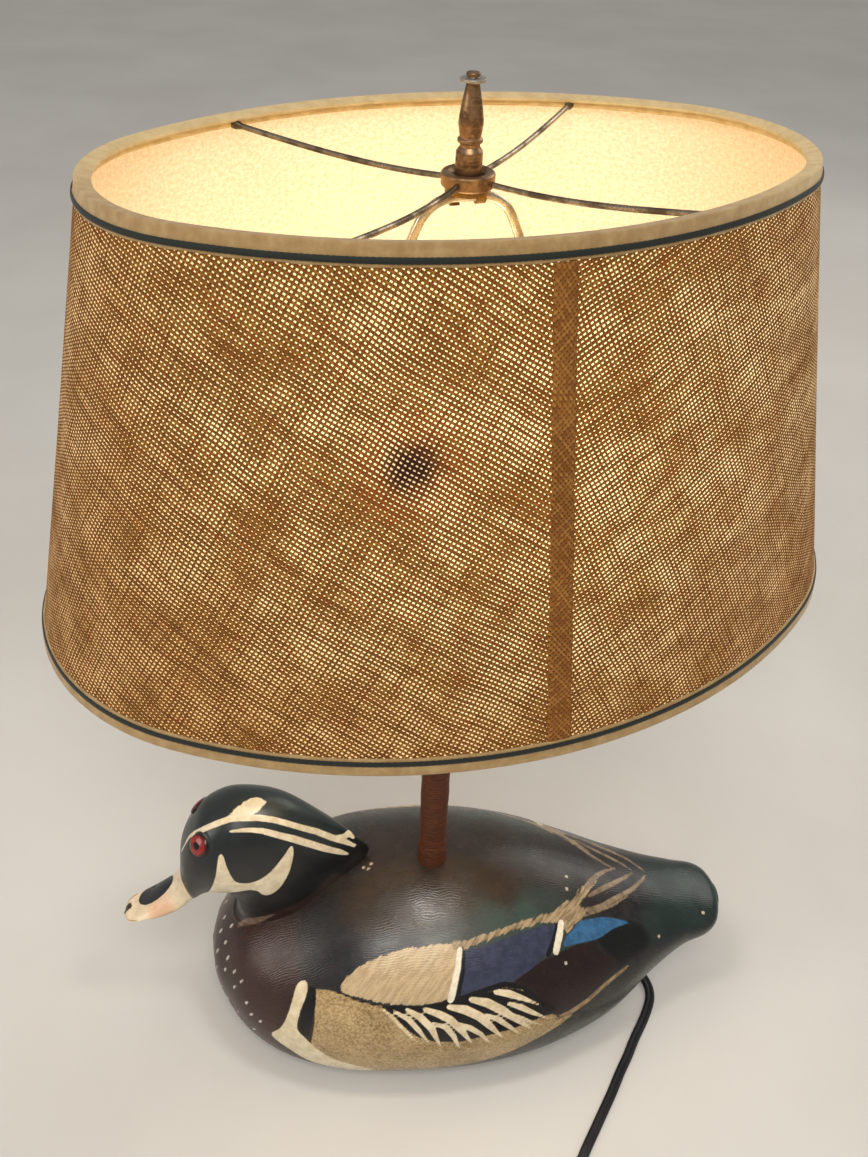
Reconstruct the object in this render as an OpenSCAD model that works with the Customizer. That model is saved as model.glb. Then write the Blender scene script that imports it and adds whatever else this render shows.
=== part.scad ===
// Table lamp on a painted wood-duck decoy, with an oval burlap shade on a harp.
// Millimetres. +Z is up, the lamp's axis is x = 0, y = 0, and the table top is z = 0.
// The duck lies along X with its head at -X. The shade and the harp share one turn about Z.

/* [Duck] */
// Length of the carved body, breast to tail tip
body_len = 344; // [310:2:380]
// Greatest width of the body
body_wid = 184; // [170:2:210]
// Height of the back above the table
back_h = 125; // [114:1:144]
// Length of the head piece, bill tip to crest tip
head_len = 158.5; // [150:0.5:170]
// Turn of the head to its left
head_turn = 6; // [0:1:20]
// Diameter of a glass eye
eye_d = 13.6; // [10:0.2:15]
// Diameter of the dowel that pins the head to the body
dowel_d = 10; // [8:1:14]
// Length of that dowel
dowel_len = 40; // [30:1:46]

/* [Underside] */
// Thickness of the felt pad
felt_t = 2; // [1:0.5:4]
// How far the felt stays inside the edge of the wood
felt_inset = 4; // [2:1:10]
// Diameter of the well that hides the nut
well_d = 36; // [34:1:50]
// Height of the well's ceiling above the table
well_top = 32; // [28:1:45]
// Width of the groove that the lead runs in
groove_w = 10; // [9:1:14]
// Height of the groove above the felt
groove_h = 8; // [7:0.5:12]

/* [Stem] */
// Outer diameter of the threaded pipe
pipe_d = 9.7; // [9.4:0.1:10.4]
// Bore of the threaded pipe
pipe_bore = 6.8; // [6.6:0.1:7.4]
// Outer diameter of the stem tube
tube_d = 15.9; // [14:0.1:18]
// Wall of the stem tube
tube_t = 1.2; // [0.8:0.1:2]
// Thickness of the lacing wound on the tube
wrap_t = 0.8; // [0.6:0.1:2]
// Extra thickness of the lacing at its foot
wrap_foot_t = 0.7; // [0.4:0.1:2]
// Height of the thicker foot
wrap_foot_h = 18; // [10:1:30]
// Depth of the seat cut in the duck's back for the stem
seat_depth = 2; // [1:0.5:5]
// Diameter of the washer under the body
washer_d = 31; // [26:1:33]
// Thickness of that washer
washer_t = 1.6; // [1:0.1:3]
// Width of the hexagon nut across its flats
nut_af = 17; // [15:1:20]
// Thickness of the nut
nut_t = 4.5; // [3:0.5:6]
// Height of the collar between the stem and the harp's saddle
collar_h = 7; // [5:0.5:12]
// Diameter of the collar's foot
collar_d = 22.4; // [21:0.2:28]

/* [Harp] */
// Height of the saddle's underside above the table
saddle_z = 350; // [330:1:370]
// Thickness of the saddle strip
saddle_t = 1.6; // [1:0.1:2.4]
// Width of the saddle strip
saddle_w = 13; // [12:0.5:18]
// Distance between the two legs of the harp
leg_gap = 57; // [52:1:62]
// Height of the harp, saddle to plate
harp_h = 204; // [194:1:230]
// Greatest width of the harp, wire centre to wire centre
harp_w = 96; // [90:1:110]
// Diameter of the harp's wire
wire_d = 4.2; // [3.4:0.1:4.8]
// Length of a locking sleeve
sleeve_len = 14; // [12:0.5:18]
// Outer diameter of a locking sleeve
sleeve_d = 7.4; // [6.6:0.1:9]
// How far a sleeve lifts to free its leg
sleeve_lift = 10; // [9:0.5:12]
// Diameter of the threaded stud
stud_d = 6.2; // [5.6:0.1:6.8]
// Diameter of the plate that the shade rests on
plate_d = 19; // [17:0.5:21]
// Thickness of that plate
plate_t = 2; // [1.2:0.1:3]

/* [Socket and bulb] */
// Outer diameter of the socket's cap
cap_d = 34; // [33:0.5:38]
// Height of the socket's cap
cap_h = 19; // [17:0.5:22]
// Wall of the brass cap and shell
brass_t = 0.8; // [0.6:0.1:1]
// Length of the socket's shell
shell_len = 52; // [50:1:58]
// Wall of the insulating sleeve
paper_t = 0.8; // [0.6:0.1:1]
// Outer diameter of the bulb's screw base
base_d = 26.4; // [26:0.1:26.8]
// Diameter of the bulb's globe
globe_d = 60; // [50:1:64]
// Length of the bulb, contact to crown
bulb_len = 108; // [98:1:112]
// Diameter of the switch shaft
shaft_d = 3; // [2.5:0.1:3.6]
// Diameter of the switch knob
knob_d = 9; // [7:0.5:12]
// Length of the switch knob
knob_len = 11; // [8:0.5:14]

/* [Shade] */
// Length of the shade's lower rim
shade_len = 398; // [380:2:430]
// Width of the shade's lower rim
shade_wid = 280; // [270:2:300]
// Height of the shade
shade_h = 206; // [190:1:225]
// How far the wall leans in from the lower rim to the upper rim
shade_taper = 46; // [36:1:56]
// Radius of the round ends at the lower rim
end_r = 111; // [104:1:120]
// Turn of the shade and the harp about the lamp's axis
shade_turn = 15; // [0:1:30]
// Thickness of the burlap
burlap_t = 0.9; // [0.6:0.1:1.4]
// Thickness of the paper lining
liner_t = 0.6; // [0.4:0.1:1]
// Width of the overlap where the burlap is joined
seam_w = 9; // [6:0.5:14]
// Width of the tape on the outside of each rim
tape_w = 8; // [7:0.5:12]
// Thickness of the tape
tape_t = 0.6; // [0.4:0.1:1]
// Width of the dark braid sewn along the tape
braid_w = 2.6; // [2:0.1:4]
// Thickness of the braid
braid_t = 0.6; // [0.4:0.1:1]
// Width of tape that shows beyond the braid
braid_edge = 1.2; // [0.8:0.1:2]
// Depth of the tape's fold inside the rim
tape_lip = 1; // [0.6:0.1:1.2]
// Diameter of the wire rings in the two rims
ring_d = 3.2; // [2.4:0.1:4]
// Height of the upper rim above the hub's top
hub_drop = 6; // [3:0.5:12]
// Diameter of the spider's hub
hub_d = 22.5; // [20:0.5:26]
// Height of the spider's hub
hub_h = 6.5; // [5:0.5:9]
// Diameter of the spider's arms
arm_d = 2.5; // [2:0.1:3]
// Angle of the arms from the shade's long axis
arm_angle = 45; // [35:0.5:60]

/* [Finial] */
// Diameter of the finial's foot
finial_d = 11.1; // [10.4:0.1:12]
// Height of the finial above the hub
finial_h = 37.5; // [34:0.5:50]

/* [Lead] */
// Width of the flat twin lead
lead_w = 6.4; // [5:0.1:6.4]
// Thickness of the flat twin lead
lead_t = 3.2; // [2.6:0.1:3.2]
// Mean radius of the coil
coil_r = 38.4; // [34:0.2:46]
// Lanes of lead side by side in the coil
coil_lanes = 4; // [3:1:5]
// Layers of lead in the coil
coil_layers = 2; // [1:1:3]
// Length of the plug's body
plug_len = 26; // [20:1:34]
// Width of the plug's body
plug_w = 24; // [22:1:30]
// Thickness of the plug's body
plug_t = 15; // [13:1:18]

/* [Hidden] */

$fn = 64;
cut = 1;        // how far a cutting solid runs past the face it cuts
fit = 0.05;     // gap all round a shaft that turns or slides in its bore
loose = 0.3;    // gap all round a piece that passes through another
sides = 40;     // points round each section of the carved pieces
steps = 2;      // sections drawn for each named section

// ---- the carved pieces -------------------------------------------------------------------

// Scales from the drawn duck to the sizes asked for
kx = body_len / 344;
ky = body_wid / 184;
kz = back_h / 125;
kh = head_len / 158.5;

// Sections of the body: [x, top z, half width, bottom z, widest at, roundness above, below]
BODY = [
    [-146, 50, 3, 46, .50, 2.0, 2.0], [-143, 61, 23, 30, .50, 2.0, 2.0],
    [-135, 73, 39, 12, .48, 2.0, 2.0], [-120, 88, 58, 0, .46, 2.0, 2.3],
    [-95, 103, 75, -6, .44, 1.9, 2.6], [-60, 118, 87, -7, .42, 1.9, 2.8],
    [-20, 125, 91, -7, .42, 1.85, 2.8], [20, 125, 90, -7, .42, 1.85, 2.8],
    [60, 119, 83, -7, .43, 1.85, 2.7], [95, 109, 70, -6, .45, 1.9, 2.6],
    [125, 99, 55, 0, .50, 2.0, 2.4], [150, 92, 40, 22, .58, 2.1, 2.2],
    [170, 87, 31, 44, .62, 2.3, 2.2], [186, 84, 27, 56, .60, 2.3, 2.2],
    [194, 82, 20, 64, .55, 2.2, 2.2], [198, 79, 8, 72, .50, 2.0, 2.0]
];

// Sections of the head, from the bill over the crown and down to the neck's foot:
// [throat x, z, outer x, z, half width, widest at, roundness outside, roundness inside]
HEAD = [
    [-98.5, 1, -98.5, 3, 2, .50, 2.0, 2.0], [-97, 2, -96.5, 5.5, 8, .50, 2.2, 2.0],
    [-90.5, 4, -89, 9, 11.7, .45, 2.1, 2.0], [-77, 3.5, -75, 20.5, 13, .42, 1.9, 2.0],
    [-64, 10, -63, 30, 14.5, .42, 1.9, 2.1], [-54, 19, -59.5, 44, 17, .50, 2.1, 2.2],
    [-47, 24.5, -57, 62, 20, .55, 2.2, 2.2], [-42, 27.5, -49, 80, 23.5, .55, 2.3, 2.2],
    [-37, 28, -38, 92.5, 26.5, .50, 2.2, 2.2], [-31, 26, -19, 100, 28, .48, 2.1, 2.2],
    [-27, 17, 8, 93, 28.5, .46, 2.0, 2.3], [-26, 9, 33, 73, 27, .44, 1.7, 2.3],
    [-26, 3, 51, 53, 25.5, .42, 1.4, 2.3], [-27, -2, 60, 37, 24, .42, 1.2, 2.3],
    [-28, -7, 50, 24, 24, .45, 1.6, 2.2], [-31, -10, 40, 14, 27, .50, 2.0, 2.0],
    [-27.8, -19.5, 43.2, 4.5, 27, .50, 2.0, 2.0]
];

// A body section in the form that a head section has
body_sections = [for (s = BODY)
    [s[0] * kx, s[3] * kz, s[0] * kx, s[1] * kz, s[2] * ky, s[4], s[5], s[6]]];
head_sections = [for (s = HEAD)
    [s[0] * kh, s[1] * kh, s[2] * kh, s[3] * kh, s[4] * kh, s[5], s[6], s[7]]];

// Where the head's own frame stands, and the middle of its foot in that frame
neck = [-100 * kx, 0, 90 * kz];
neck_foot = [7.7 * kh, 0, -7.5 * kh];
neck_tilt = -18.7;

// Smooth curve through four rows of numbers, at t from the second to the third
function through(a, b, c, d, t) =
    0.5 * (2 * b + (c - a) * t + (2 * a - 5 * b + 4 * c - d) * t * t
    + (3 * b - a - 3 * c + d) * t * t * t);

// The sections, with steps drawn for each one
function smooth(s) = let (n = len(s)) concat(
    [for (i = [0:n - 2], k = [0:steps - 1])
        through(s[max(i - 1, 0)], s[i], s[i + 1], s[min(i + 2, n - 1)], k / steps)],
    [s[n - 1]]);

function power(v, p) = sign(v) * pow(abs(v), p);

// One point of a section, at an angle from its widest point
function section_point(s, a) =
    let (upper = sin(a) >= 0, p = 2 / (upper ? s[6] : s[7]))
    let (up = power(sin(a), p))
    let (v = upper ? s[5] + (1 - s[5]) * up : s[5] + s[5] * up)
    [s[0] + (s[2] - s[0]) * v, s[4] * power(cos(a), p), s[1] + (s[3] - s[1]) * v];

// Skin over rows of points, each row a closed section with as many points as the last
module skin(rows) {
    n = len(rows[0]);
    last = (len(rows) - 1) * n;
    walls = [for (i = [0:len(rows) - 2], k = [0:n - 1], h = [0, 1])
        let (a = i * n + k, b = i * n + (k + 1) % n)
        h == 0 ? [a, a + n, b + n] : [a, b + n, b]];
    ends = [[for (k = [0:n - 1]) k], [for (k = [n - 1:-1:0]) last + k]];
    polyhedron([for (r = rows) each r], concat(walls, ends));
}

module carved(sections) {
    skin([for (s = smooth(sections)) [for (k = [0:sides - 1]) section_point(s, 360 * k / sides)]]);
}

module in_head() {
    translate(neck) rotate(head_turn) children();
}

module head_block() {
    in_head() carved(head_sections);
}

// The dowel's place, across the foot of the neck
module at_dowel() {
    in_head() translate(neck_foot) rotate([0, neck_tilt, 0]) children();
}

module dowel() {
    at_dowel() cylinder(d = dowel_d, h = dowel_len, center = true);
}

// An eye is a flat lens on a round shank, set square to the cheek
eye_place = [-45.2, 16.7, 80] * kh;
eye_pan = 42;
eye_lift = 32;
eye_bulge = 15;
eye_depth = 4;
eye_proud = 0.7;

module eye(side) {
    in_head() translate([eye_place.x, side * eye_place.y, eye_place.z])
        rotate([0, 0, side * (180 - eye_pan)]) rotate([0, 90 - eye_lift, 0]) intersection() {
            translate([0, 0, -eye_depth]) cylinder(d = eye_d, h = eye_depth + eye_proud);
            translate([0, 0, eye_proud - eye_bulge]) sphere(r = eye_bulge);
        }
}

// ---- heights up the lamp's axis ----------------------------------------------------------

seat_z = back_h - seat_depth;
wrap_d = tube_d + 2 * wrap_t;
wrap_foot_d = wrap_d + 2 * wrap_foot_t;
collar_z = saddle_z - collar_h;
saddle_top = saddle_z + saddle_t;
pipe_bottom = well_top - washer_t - nut_t - 4;
pipe_proud = 10;
pipe_top = saddle_top + pipe_proud;
pipe_hole = pipe_d + 2 * loose;
plate_top = saddle_top + harp_h;
hub_top = plate_top + hub_h;
rim_top = hub_top + hub_drop;
rim_bottom = rim_top - shade_h;

// ---- duck --------------------------------------------------------------------------------

module duck_body() {
    color([0.23, 0.19, 0.17]) difference() {
        // resize() with no new size keeps the block as it is and makes one mesh of it
        resize([0, 0, 0]) difference() {
            carved(body_sections);
            head_block();
            translate([-body_len, -body_wid, felt_t - back_h])
                cube([2 * body_len, 2 * body_wid, back_h]);
        }
        dowel();
        translate([0, 0, -cut]) cylinder(d = pipe_hole, h = 2 * back_h);
        translate([0, 0, seat_z]) cylinder(d = wrap_foot_d + loose, h = back_h);
        cylinder(d = well_d, h = well_top);
        translate([0, -groove_w / 2, 0]) cube([groove_end, groove_w, felt_t + groove_h]);
    }
}

module duck_head() {
    color([0.10, 0.13, 0.12]) difference() {
        head_block();
        dowel();
        eye(-1);
        eye(1);
    }
}

// The duck faces -X, so its left side is -Y
module left_eye() {
    color([0.62, 0.14, 0.12]) eye(-1);
}

module right_eye() {
    color([0.62, 0.14, 0.12]) eye(1);
}

module neck_dowel() {
    color("burlywood") dowel();
}

// Half width of a body section where the felt meets the wood
function foot_y(s) =
    let (low = 1 - (felt_t - s[1]) / (s[3] - s[1]) / s[5])
    s[4] * pow(max(1 - pow(max(low, 0), s[7]), 0), 1 / s[7]) - felt_inset;

module base_felt() {
    foot = [for (s = smooth(body_sections)) if (s[1] < -1) [s[0], foot_y(s)]];
    n = len(foot);
    outline = concat(foot, [for (i = [n - 1:-1:0]) [foot[i].x, -foot[i].y]]);
    color([0.10, 0.20, 0.13]) difference() {
        linear_extrude(felt_t) polygon(outline);
        translate([clip_x, -groove_w / 2, -cut]) cube([body_len, groove_w, felt_t + 2 * cut]);
    }
}

// ---- stem --------------------------------------------------------------------------------

module threaded_pipe() {
    color("darkgoldenrod") translate([0, 0, pipe_bottom]) difference() {
        cylinder(d = pipe_d, h = pipe_top - pipe_bottom);
        translate([0, 0, -cut]) cylinder(d = pipe_bore, h = pipe_top - pipe_bottom + 2 * cut);
    }
}

module pipe_washer() {
    color("silver") translate([0, 0, well_top - washer_t]) difference() {
        cylinder(d = washer_d, h = washer_t);
        translate([0, 0, -cut]) cylinder(d = pipe_d + 2 * fit, h = washer_t + 2 * cut);
    }
}

module pipe_nut() {
    color("goldenrod") translate([0, 0, well_top - washer_t - nut_t]) difference() {
        cylinder(d = nut_af / cos(30), h = nut_t, $fn = 6);
        translate([0, 0, -cut]) cylinder(d = pipe_d + 2 * fit, h = nut_t + 2 * cut);
    }
}

module stem_tube() {
    color("silver") translate([0, 0, seat_z]) difference() {
        cylinder(d = tube_d, h = collar_z - seat_z);
        translate([0, 0, -cut]) cylinder(d = tube_d - 2 * tube_t, h = collar_z - seat_z + 2 * cut);
    }
}

module stem_lacing() {
    color([0.42, 0.20, 0.11]) translate([0, 0, seat_z]) difference() {
        union() {
            cylinder(d = wrap_d, h = collar_z - seat_z);
            cylinder(d = wrap_foot_d, h = wrap_foot_h);
            translate([0, 0, wrap_foot_h]) cylinder(d1 = wrap_foot_d, d2 = wrap_d, h = 2);
        }
        translate([0, 0, -cut]) cylinder(d = tube_d, h = collar_z - seat_z + 2 * cut);
    }
}

module stem_collar() {
    outer = collar_d / 2;
    waist = outer - 2.5;
    color("goldenrod") translate([0, 0, collar_z]) difference() {
        rotate_extrude() polygon([[0, 0], [outer, 0], [outer, collar_h * 0.3],
            [waist, collar_h * 0.55], [waist, collar_h * 0.75],
            [outer - 1, collar_h], [0, collar_h]]);
        translate([0, 0, -cut]) cylinder(d = pipe_d + 2 * fit, h = collar_h + 2 * cut);
    }
}

// ---- harp --------------------------------------------------------------------------------

leg_x = leg_gap / 2;
post_h = sleeve_len - 6;
post_top = saddle_top + post_h;
leg_top = saddle_top + sleeve_len + sleeve_lift + 2.4;
wire_z = plate_top - plate_t - wire_d / 2;
claw_x = 3.5;
claw_w = 4;
claw_t = 1.1;
bow_flat = claw_x + claw_w / 2;
bow_r = 17;
bow_angle = 65;
bow_x = bow_flat + bow_r * sin(bow_angle);
bow_z = wire_z - bow_r * (1 - cos(bow_angle));
side_r = (harp_w / 2 - bow_x) / (1 - sin(bow_angle));
side_z = bow_z - side_r * cos(bow_angle);
foot_run = harp_w / 2 - leg_x;
foot_angle = 2 * atan(foot_run / (side_z - leg_top));
foot_r = (side_z - leg_top) / sin(foot_angle) / 2;

// Points along an arc, from one angle to another
function arc(centre, r, from, to, n) =
    [for (i = [0:n]) let (a = from + (to - from) * i / n) centre + r * [cos(a), sin(a)]];

// Points along half of the harp's wire, from inside the top of a leg to the middle of the bow
harp_side = concat(
    [[leg_x, leg_top - 1]],
    arc([leg_x + foot_r, leg_top], foot_r, 180, 180 - foot_angle, 5),
    arc([harp_w / 2 - foot_r, side_z], foot_r, 4 - foot_angle, 0, 4),
    arc([harp_w / 2 - side_r, side_z], side_r, 4, 90 - bow_angle, 4),
    arc([bow_flat, wire_z - bow_r], bow_r, 98 - bow_angle, 90, 5));
harp_route = concat(harp_side, [for (i = [len(harp_side) - 1:-1:0]) [-harp_side[i].x, harp_side[i].y]]);
harp_sides = 16;
bent_r = wire_d / 2 - fit;

module harp_saddle() {
    color("darkgoldenrod") rotate(shade_turn) difference() {
        union() {
            translate([0, 0, saddle_z]) linear_extrude(saddle_t) {
                square([leg_gap, saddle_w], center = true);
                for (s = [-1, 1]) translate([s * leg_x, 0]) circle(d = saddle_w);
            }
            for (s = [-1, 1]) translate([s * leg_x, 0, saddle_z])
                cylinder(d = wire_d, h = post_top - saddle_z);
        }
        translate([0, 0, saddle_z - cut]) cylinder(d = pipe_d + 2 * fit, h = saddle_t + 2 * cut);
    }
}

// The wire's ring about one point of its route. The bent wire ends level, inside the legs,
// and is a hair thinner than they are.
function wire_ring(i) =
    let (p = harp_route[i], n = len(harp_route) - 1)
    let (d = i == 0 ? [0, 1] : i == n ? [0, -1] : unit(harp_route[i + 1] - harp_route[i - 1]))
    [for (k = [0:harp_sides - 1]) let (a = 360 * k / harp_sides, in = bent_r * sin(a))
        [p.x - in * d.y, bent_r * cos(a), p.y + in * d.x]];

module harp_wire() {
    color([0.48, 0.40, 0.26]) rotate(shade_turn) {
        skin([for (i = [0:len(harp_route) - 1]) wire_ring(i)]);
        for (s = [-1, 1]) translate([s * leg_x, 0, post_top])
            cylinder(d = wire_d, h = leg_top - post_top);
    }
}

module claw() {
    translate([claw_x, 0, wire_z]) rotate([0, 90, 0])
        rotate_extrude(angle = 250, start = 130)
        translate([wire_d / 2 + fit, 0]) square([claw_t, claw_w]);
}

module harp_top_plate() {
    color([0.50, 0.38, 0.22]) rotate(shade_turn) {
        // The hub turns a hair above the plate
        translate([0, 0, plate_top - plate_t]) cylinder(d = plate_d, h = plate_t - fit);
        stud();
        claw();
        rotate(180) claw();
    }
}

module stud() {
    translate([0, 0, plate_top - plate_t / 2]) cylinder(d = stud_d, h = hub_h + 9 + plate_t / 2);
}

module sleeve(side) {
    color("darkgoldenrod") rotate(shade_turn) translate([side * leg_x, 0, saddle_top]) difference() {
        cylinder(d = sleeve_d, h = sleeve_len);
        translate([0, 0, -cut]) cylinder(d = wire_d + 2 * fit, h = sleeve_len + 2 * cut);
    }
}

module harp_sleeve_left() {
    sleeve(-1);
}

module harp_sleeve_right() {
    sleeve(1);
}

// ---- socket ------------------------------------------------------------------------------

shell_z = saddle_top + 10;
shell_top = shell_z + shell_len;
shell_d = cap_d - 2 * brass_t;
paper_d = shell_d - 2 * brass_t;
inner_d = paper_d - 2 * paper_t;
block_z = shell_z + 6;
block_h = 22;
block_top = block_z + block_h;
contact_t = 1.6;
contact_d = 6;
bulb_z = block_top + contact_t;
switch_z = block_z + 12;
screw_z = block_z + 6;
screw_d = 3;
screw_flat = inner_d / 2 - 2.4;

// Along the switch shaft, which stands square to the harp
module at_switch() {
    rotate(shade_turn) translate([0, 0, switch_z]) rotate([90, 0, 0]) children();
}

module socket_cap() {
    r = cap_d / 2;
    neck_r = pipe_d / 2 + 3;
    t = brass_t;
    color("goldenrod") translate([0, 0, saddle_top]) difference() {
        rotate_extrude() polygon([[0, 0], [neck_r, 0], [neck_r, 3], [r - 3, 6], [r, 9],
            [r, cap_h], [r - t, cap_h], [r - t, 9 + t / 2], [r - 3 - t / 2, 6 + t],
            [neck_r - t, 3 + t], [0, 3 + t]]);
        translate([0, 0, -cut]) cylinder(d = pipe_d + 2 * fit, h = cap_h);
    }
}

module tube(outer, inner, h) {
    difference() {
        cylinder(d = outer, h = h);
        translate([0, 0, -cut]) cylinder(d = inner, h = h + 2 * cut);
    }
}

module socket_shell() {
    color("gold") difference() {
        translate([0, 0, shell_z]) tube(shell_d, paper_d, shell_len);
        at_switch() cylinder(d = shaft_d + 2, h = cap_d);
    }
}

module socket_insulator() {
    color("tan") difference() {
        translate([0, 0, shell_z + 2]) tube(paper_d, inner_d, shell_len - 3);
        at_switch() cylinder(d = shaft_d + 2, h = cap_d);
    }
}

module at_screws() {
    for (s = [0, 180]) rotate(shade_turn + s) translate([screw_flat, 0, screw_z]) rotate([0, 90, 0])
        children();
}

module socket_body() {
    color([0.15, 0.12, 0.11]) difference() {
        translate([0, 0, block_z]) cylinder(d = inner_d, h = block_h);
        for (s = [0, 180]) rotate(shade_turn + s) translate([screw_flat, -5, screw_z - 5])
            cube([5, 10, 10]);
        at_screws() translate([0, 0, -5]) cylinder(d = screw_d, h = 6);
        at_switch() translate([0, 0, 8]) cylinder(d = shaft_d + 2 * fit, h = cap_d);
    }
}

module terminal_screws() {
    color("silver") at_screws() {
        translate([0, 0, -4.5]) cylinder(d = screw_d, h = 5);
        cylinder(d = 6, h = 2);
    }
}

module socket_screw_shell() {
    color("darkkhaki") translate([0, 0, block_top])
        tube(inner_d, base_d + 2 * loose, shell_top - 2 - block_top);
}

module socket_contact() {
    color("gold") translate([0, 0, block_top]) cylinder(d = contact_d, h = contact_t);
}

module switch_knob() {
    reach = cap_d / 2 + 5;
    color([0.13, 0.10, 0.09]) at_switch() {
        translate([0, 0, 9]) cylinder(d = shaft_d, h = reach - 8);
        translate([0, 0, reach]) rotate_extrude() polygon([[0, 0], [knob_d / 2 - 1, 0],
            [knob_d / 2, 1], [knob_d / 2, knob_len - 1.5], [knob_d / 2 - 1.5, knob_len],
            [0, knob_len]]);
    }
}

// ---- bulb --------------------------------------------------------------------------------

glass_t = 1;
glass_z = shell_top + 1.4;
globe_r = globe_d / 2;
globe_z = bulb_z + bulb_len - globe_r;
throat_r = base_d / 2 + 0.4;
throat_arc = 40;
// Height where the throat's arc ends, so that the arc is tangent to the globe
throat_z = globe_z - sqrt(pow(globe_r + throat_arc, 2) - pow(throat_r + throat_arc, 2));

module bulb_base() {
    r = base_d / 2;
    color("silver") translate([0, 0, bulb_z]) rotate_extrude() polygon([[0, 0], [4, 0], [4.6, 1.5],
        [r - 3, 4.5], [r, 5.5], [r, glass_z - bulb_z], [0, glass_z - bulb_z]]);
}

// Outline of the bulb, less a wall, from the neck to the crown
function bulb_outline(wall) =
    let (tangent = acos((throat_r + throat_arc) / (globe_r + throat_arc)))
    concat([[throat_r - wall, glass_z]],
        arc([throat_r + throat_arc, throat_z], throat_arc + wall, 180, 180 - tangent, 8),
        arc([0, globe_z], globe_r - wall, 2 - tangent, 90, 16));

module bulb_glass() {
    inside = bulb_outline(glass_t);
    color([1, 0.96, 0.85]) rotate_extrude()
        polygon(concat(bulb_outline(0), [for (i = [len(inside) - 1:-1:0]) inside[i]]));
}

// ---- shade -------------------------------------------------------------------------------

// The oval is drawn with four arcs. Its ends turn about (end_x, 0) and its sides about (0, side_y).
end_x = shade_len / 2 - end_r;
half_w = shade_wid / 2;
bulge = half_w - end_r;
side_y = (end_x * end_x - bulge * bulge) / (2 * bulge);
side_arc_r = half_w + side_y;
wall_lean = atan(shade_taper / shade_h);
wall_len = shade_h / cos(wall_lean);

// The section's stations round the oval: [axis x, axis y, radius, direction, half turn].
// They meet where the ends' arcs pass into the sides' arcs, and each side has one at its middle
// and two at the edges of the seam.
side_a = atan2(end_x, side_y);
seam_a = asin(seam_w / 2 / side_arc_r);
end_steps = 20;
side_steps = 7;
end_turns = [for (k = [0:end_steps]) (90 - side_a) * (2 * k / end_steps - 1)];
side_turns = [for (k = [1:side_steps]) side_a + (seam_a - side_a) * k / side_steps];
OVAL = [for (s = [1, -1]) each concat(
    [for (a = end_turns) [end_x, 0, end_r, a, s]],
    [for (a = side_turns) [0, -side_y, side_arc_r, 90 - a, s]],
    [[0, -side_y, side_arc_r, 90, s]],
    [for (k = [side_steps - 1:-1:0]) [0, -side_y, side_arc_r, 90 + side_turns[k], s]])];

// A section leaned with the wall. Its x is out of the wall's face, its y is up the wall.
function leaned(section) = [for (q = section)
    [q.x * cos(wall_lean) - q.y * sin(wall_lean), q.x * sin(wall_lean) + q.y * cos(wall_lean)]];

// One station's row of points, for a leaned section measured from the lower rim's line
function oval_row(o, section) = [for (q = section) let (r = o[2] + q.x)
    [o[4] * (o[0] + r * cos(o[3])), o[4] * (o[1] + r * sin(o[3])), q.y]];

// Skin over rows that close on themselves
module hoop(rows) {
    n = len(rows[0]);
    m = len(rows);
    polyhedron([for (r = rows) each r], [for (i = [0:m - 1], k = [0:n - 1], h = [0, 1])
        let (a = i * n + k, b = i * n + (k + 1) % n)
        let (c = (i + 1) % m * n + k, d = (i + 1) % m * n + (k + 1) % n)
        h == 0 ? [a, c, d] : [a, d, b]]);
}

module in_shade() {
    rotate(shade_turn) translate([0, 0, rim_bottom]) children();
}

// Sweeps a section round the whole oval
module round_oval(section) {
    lean = leaned(section);
    in_shade() hoop([for (o = OVAL) oval_row(o, lean)]);
}

function plate(x, t, from, to) = [[x, from], [x + t, from], [x + t, to], [x, to]];

outer_x = burlap_t;
inner_x = -liner_t;

module shade_liner() {
    color([0.96, 0.90, 0.78]) round_oval(plate(inner_x, liner_t, 0, wall_len));
}

module shade_burlap() {
    color([0.74, 0.58, 0.36]) round_oval(plate(0, burlap_t, 0, wall_len));
}

module shade_seam() {
    lean = leaned(plate(outer_x, burlap_t, tape_w, wall_len - tape_w));
    color([0.70, 0.54, 0.33]) in_shade()
        skin([for (a = [-seam_a, 0, seam_a]) oval_row([0, -side_y, side_arc_r, 90 + a, -1], lean)]);
}

// The tape is folded over the rim and its ring. Its outer leg is tape_w wide.
// up is 1 at the upper rim and -1 at the lower one.
function tape_section(rim, up) =
    let (front = outer_x + tape_t, back = inner_x - ring_d - tape_t, fold = rim + up * tape_t)
    let (run = [[outer_x, rim - up * tape_w], [front, rim - up * tape_w], [front, fold],
        [back, fold], [back, rim - up * tape_lip], [back + tape_t, rim - up * tape_lip],
        [back + tape_t, rim], [outer_x, rim]])
    up > 0 ? run : [for (i = [len(run) - 1:-1:0]) run[i]];

// The braid's far edge leaves braid_edge of the tape to show
function braid_section(rim, up) =
    let (edge = rim - up * (tape_w - braid_edge))
    plate(outer_x + tape_t + fit, braid_t, min(edge, edge + up * braid_w),
        max(edge, edge + up * braid_w));

module upper_tape() {
    color([0.72, 0.58, 0.34]) round_oval(tape_section(wall_len, 1));
}

module lower_tape() {
    color([0.72, 0.58, 0.34]) round_oval(tape_section(0, -1));
}

module upper_braid() {
    color([0.09, 0.13, 0.08]) round_oval(braid_section(wall_len, 1));
}

module lower_braid() {
    color([0.09, 0.13, 0.08]) round_oval(braid_section(0, -1));
}

// The rings lie inside the wall, low enough for the arms to pass under the tape
ring_inset = 1.2 + ring_d / 2;
ring_x = inner_x - ring_d / 2;
ring_sides = 10;

function ring_section(y) =
    [for (k = [0:ring_sides - 1]) let (a = 360 * k / ring_sides)
        [ring_x + ring_d / 2 * cos(a), y + ring_d / 2 * sin(a)]];

module upper_rim_ring() {
    color([0.45, 0.36, 0.22]) round_oval(ring_section(wall_len - ring_inset));
}

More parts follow.
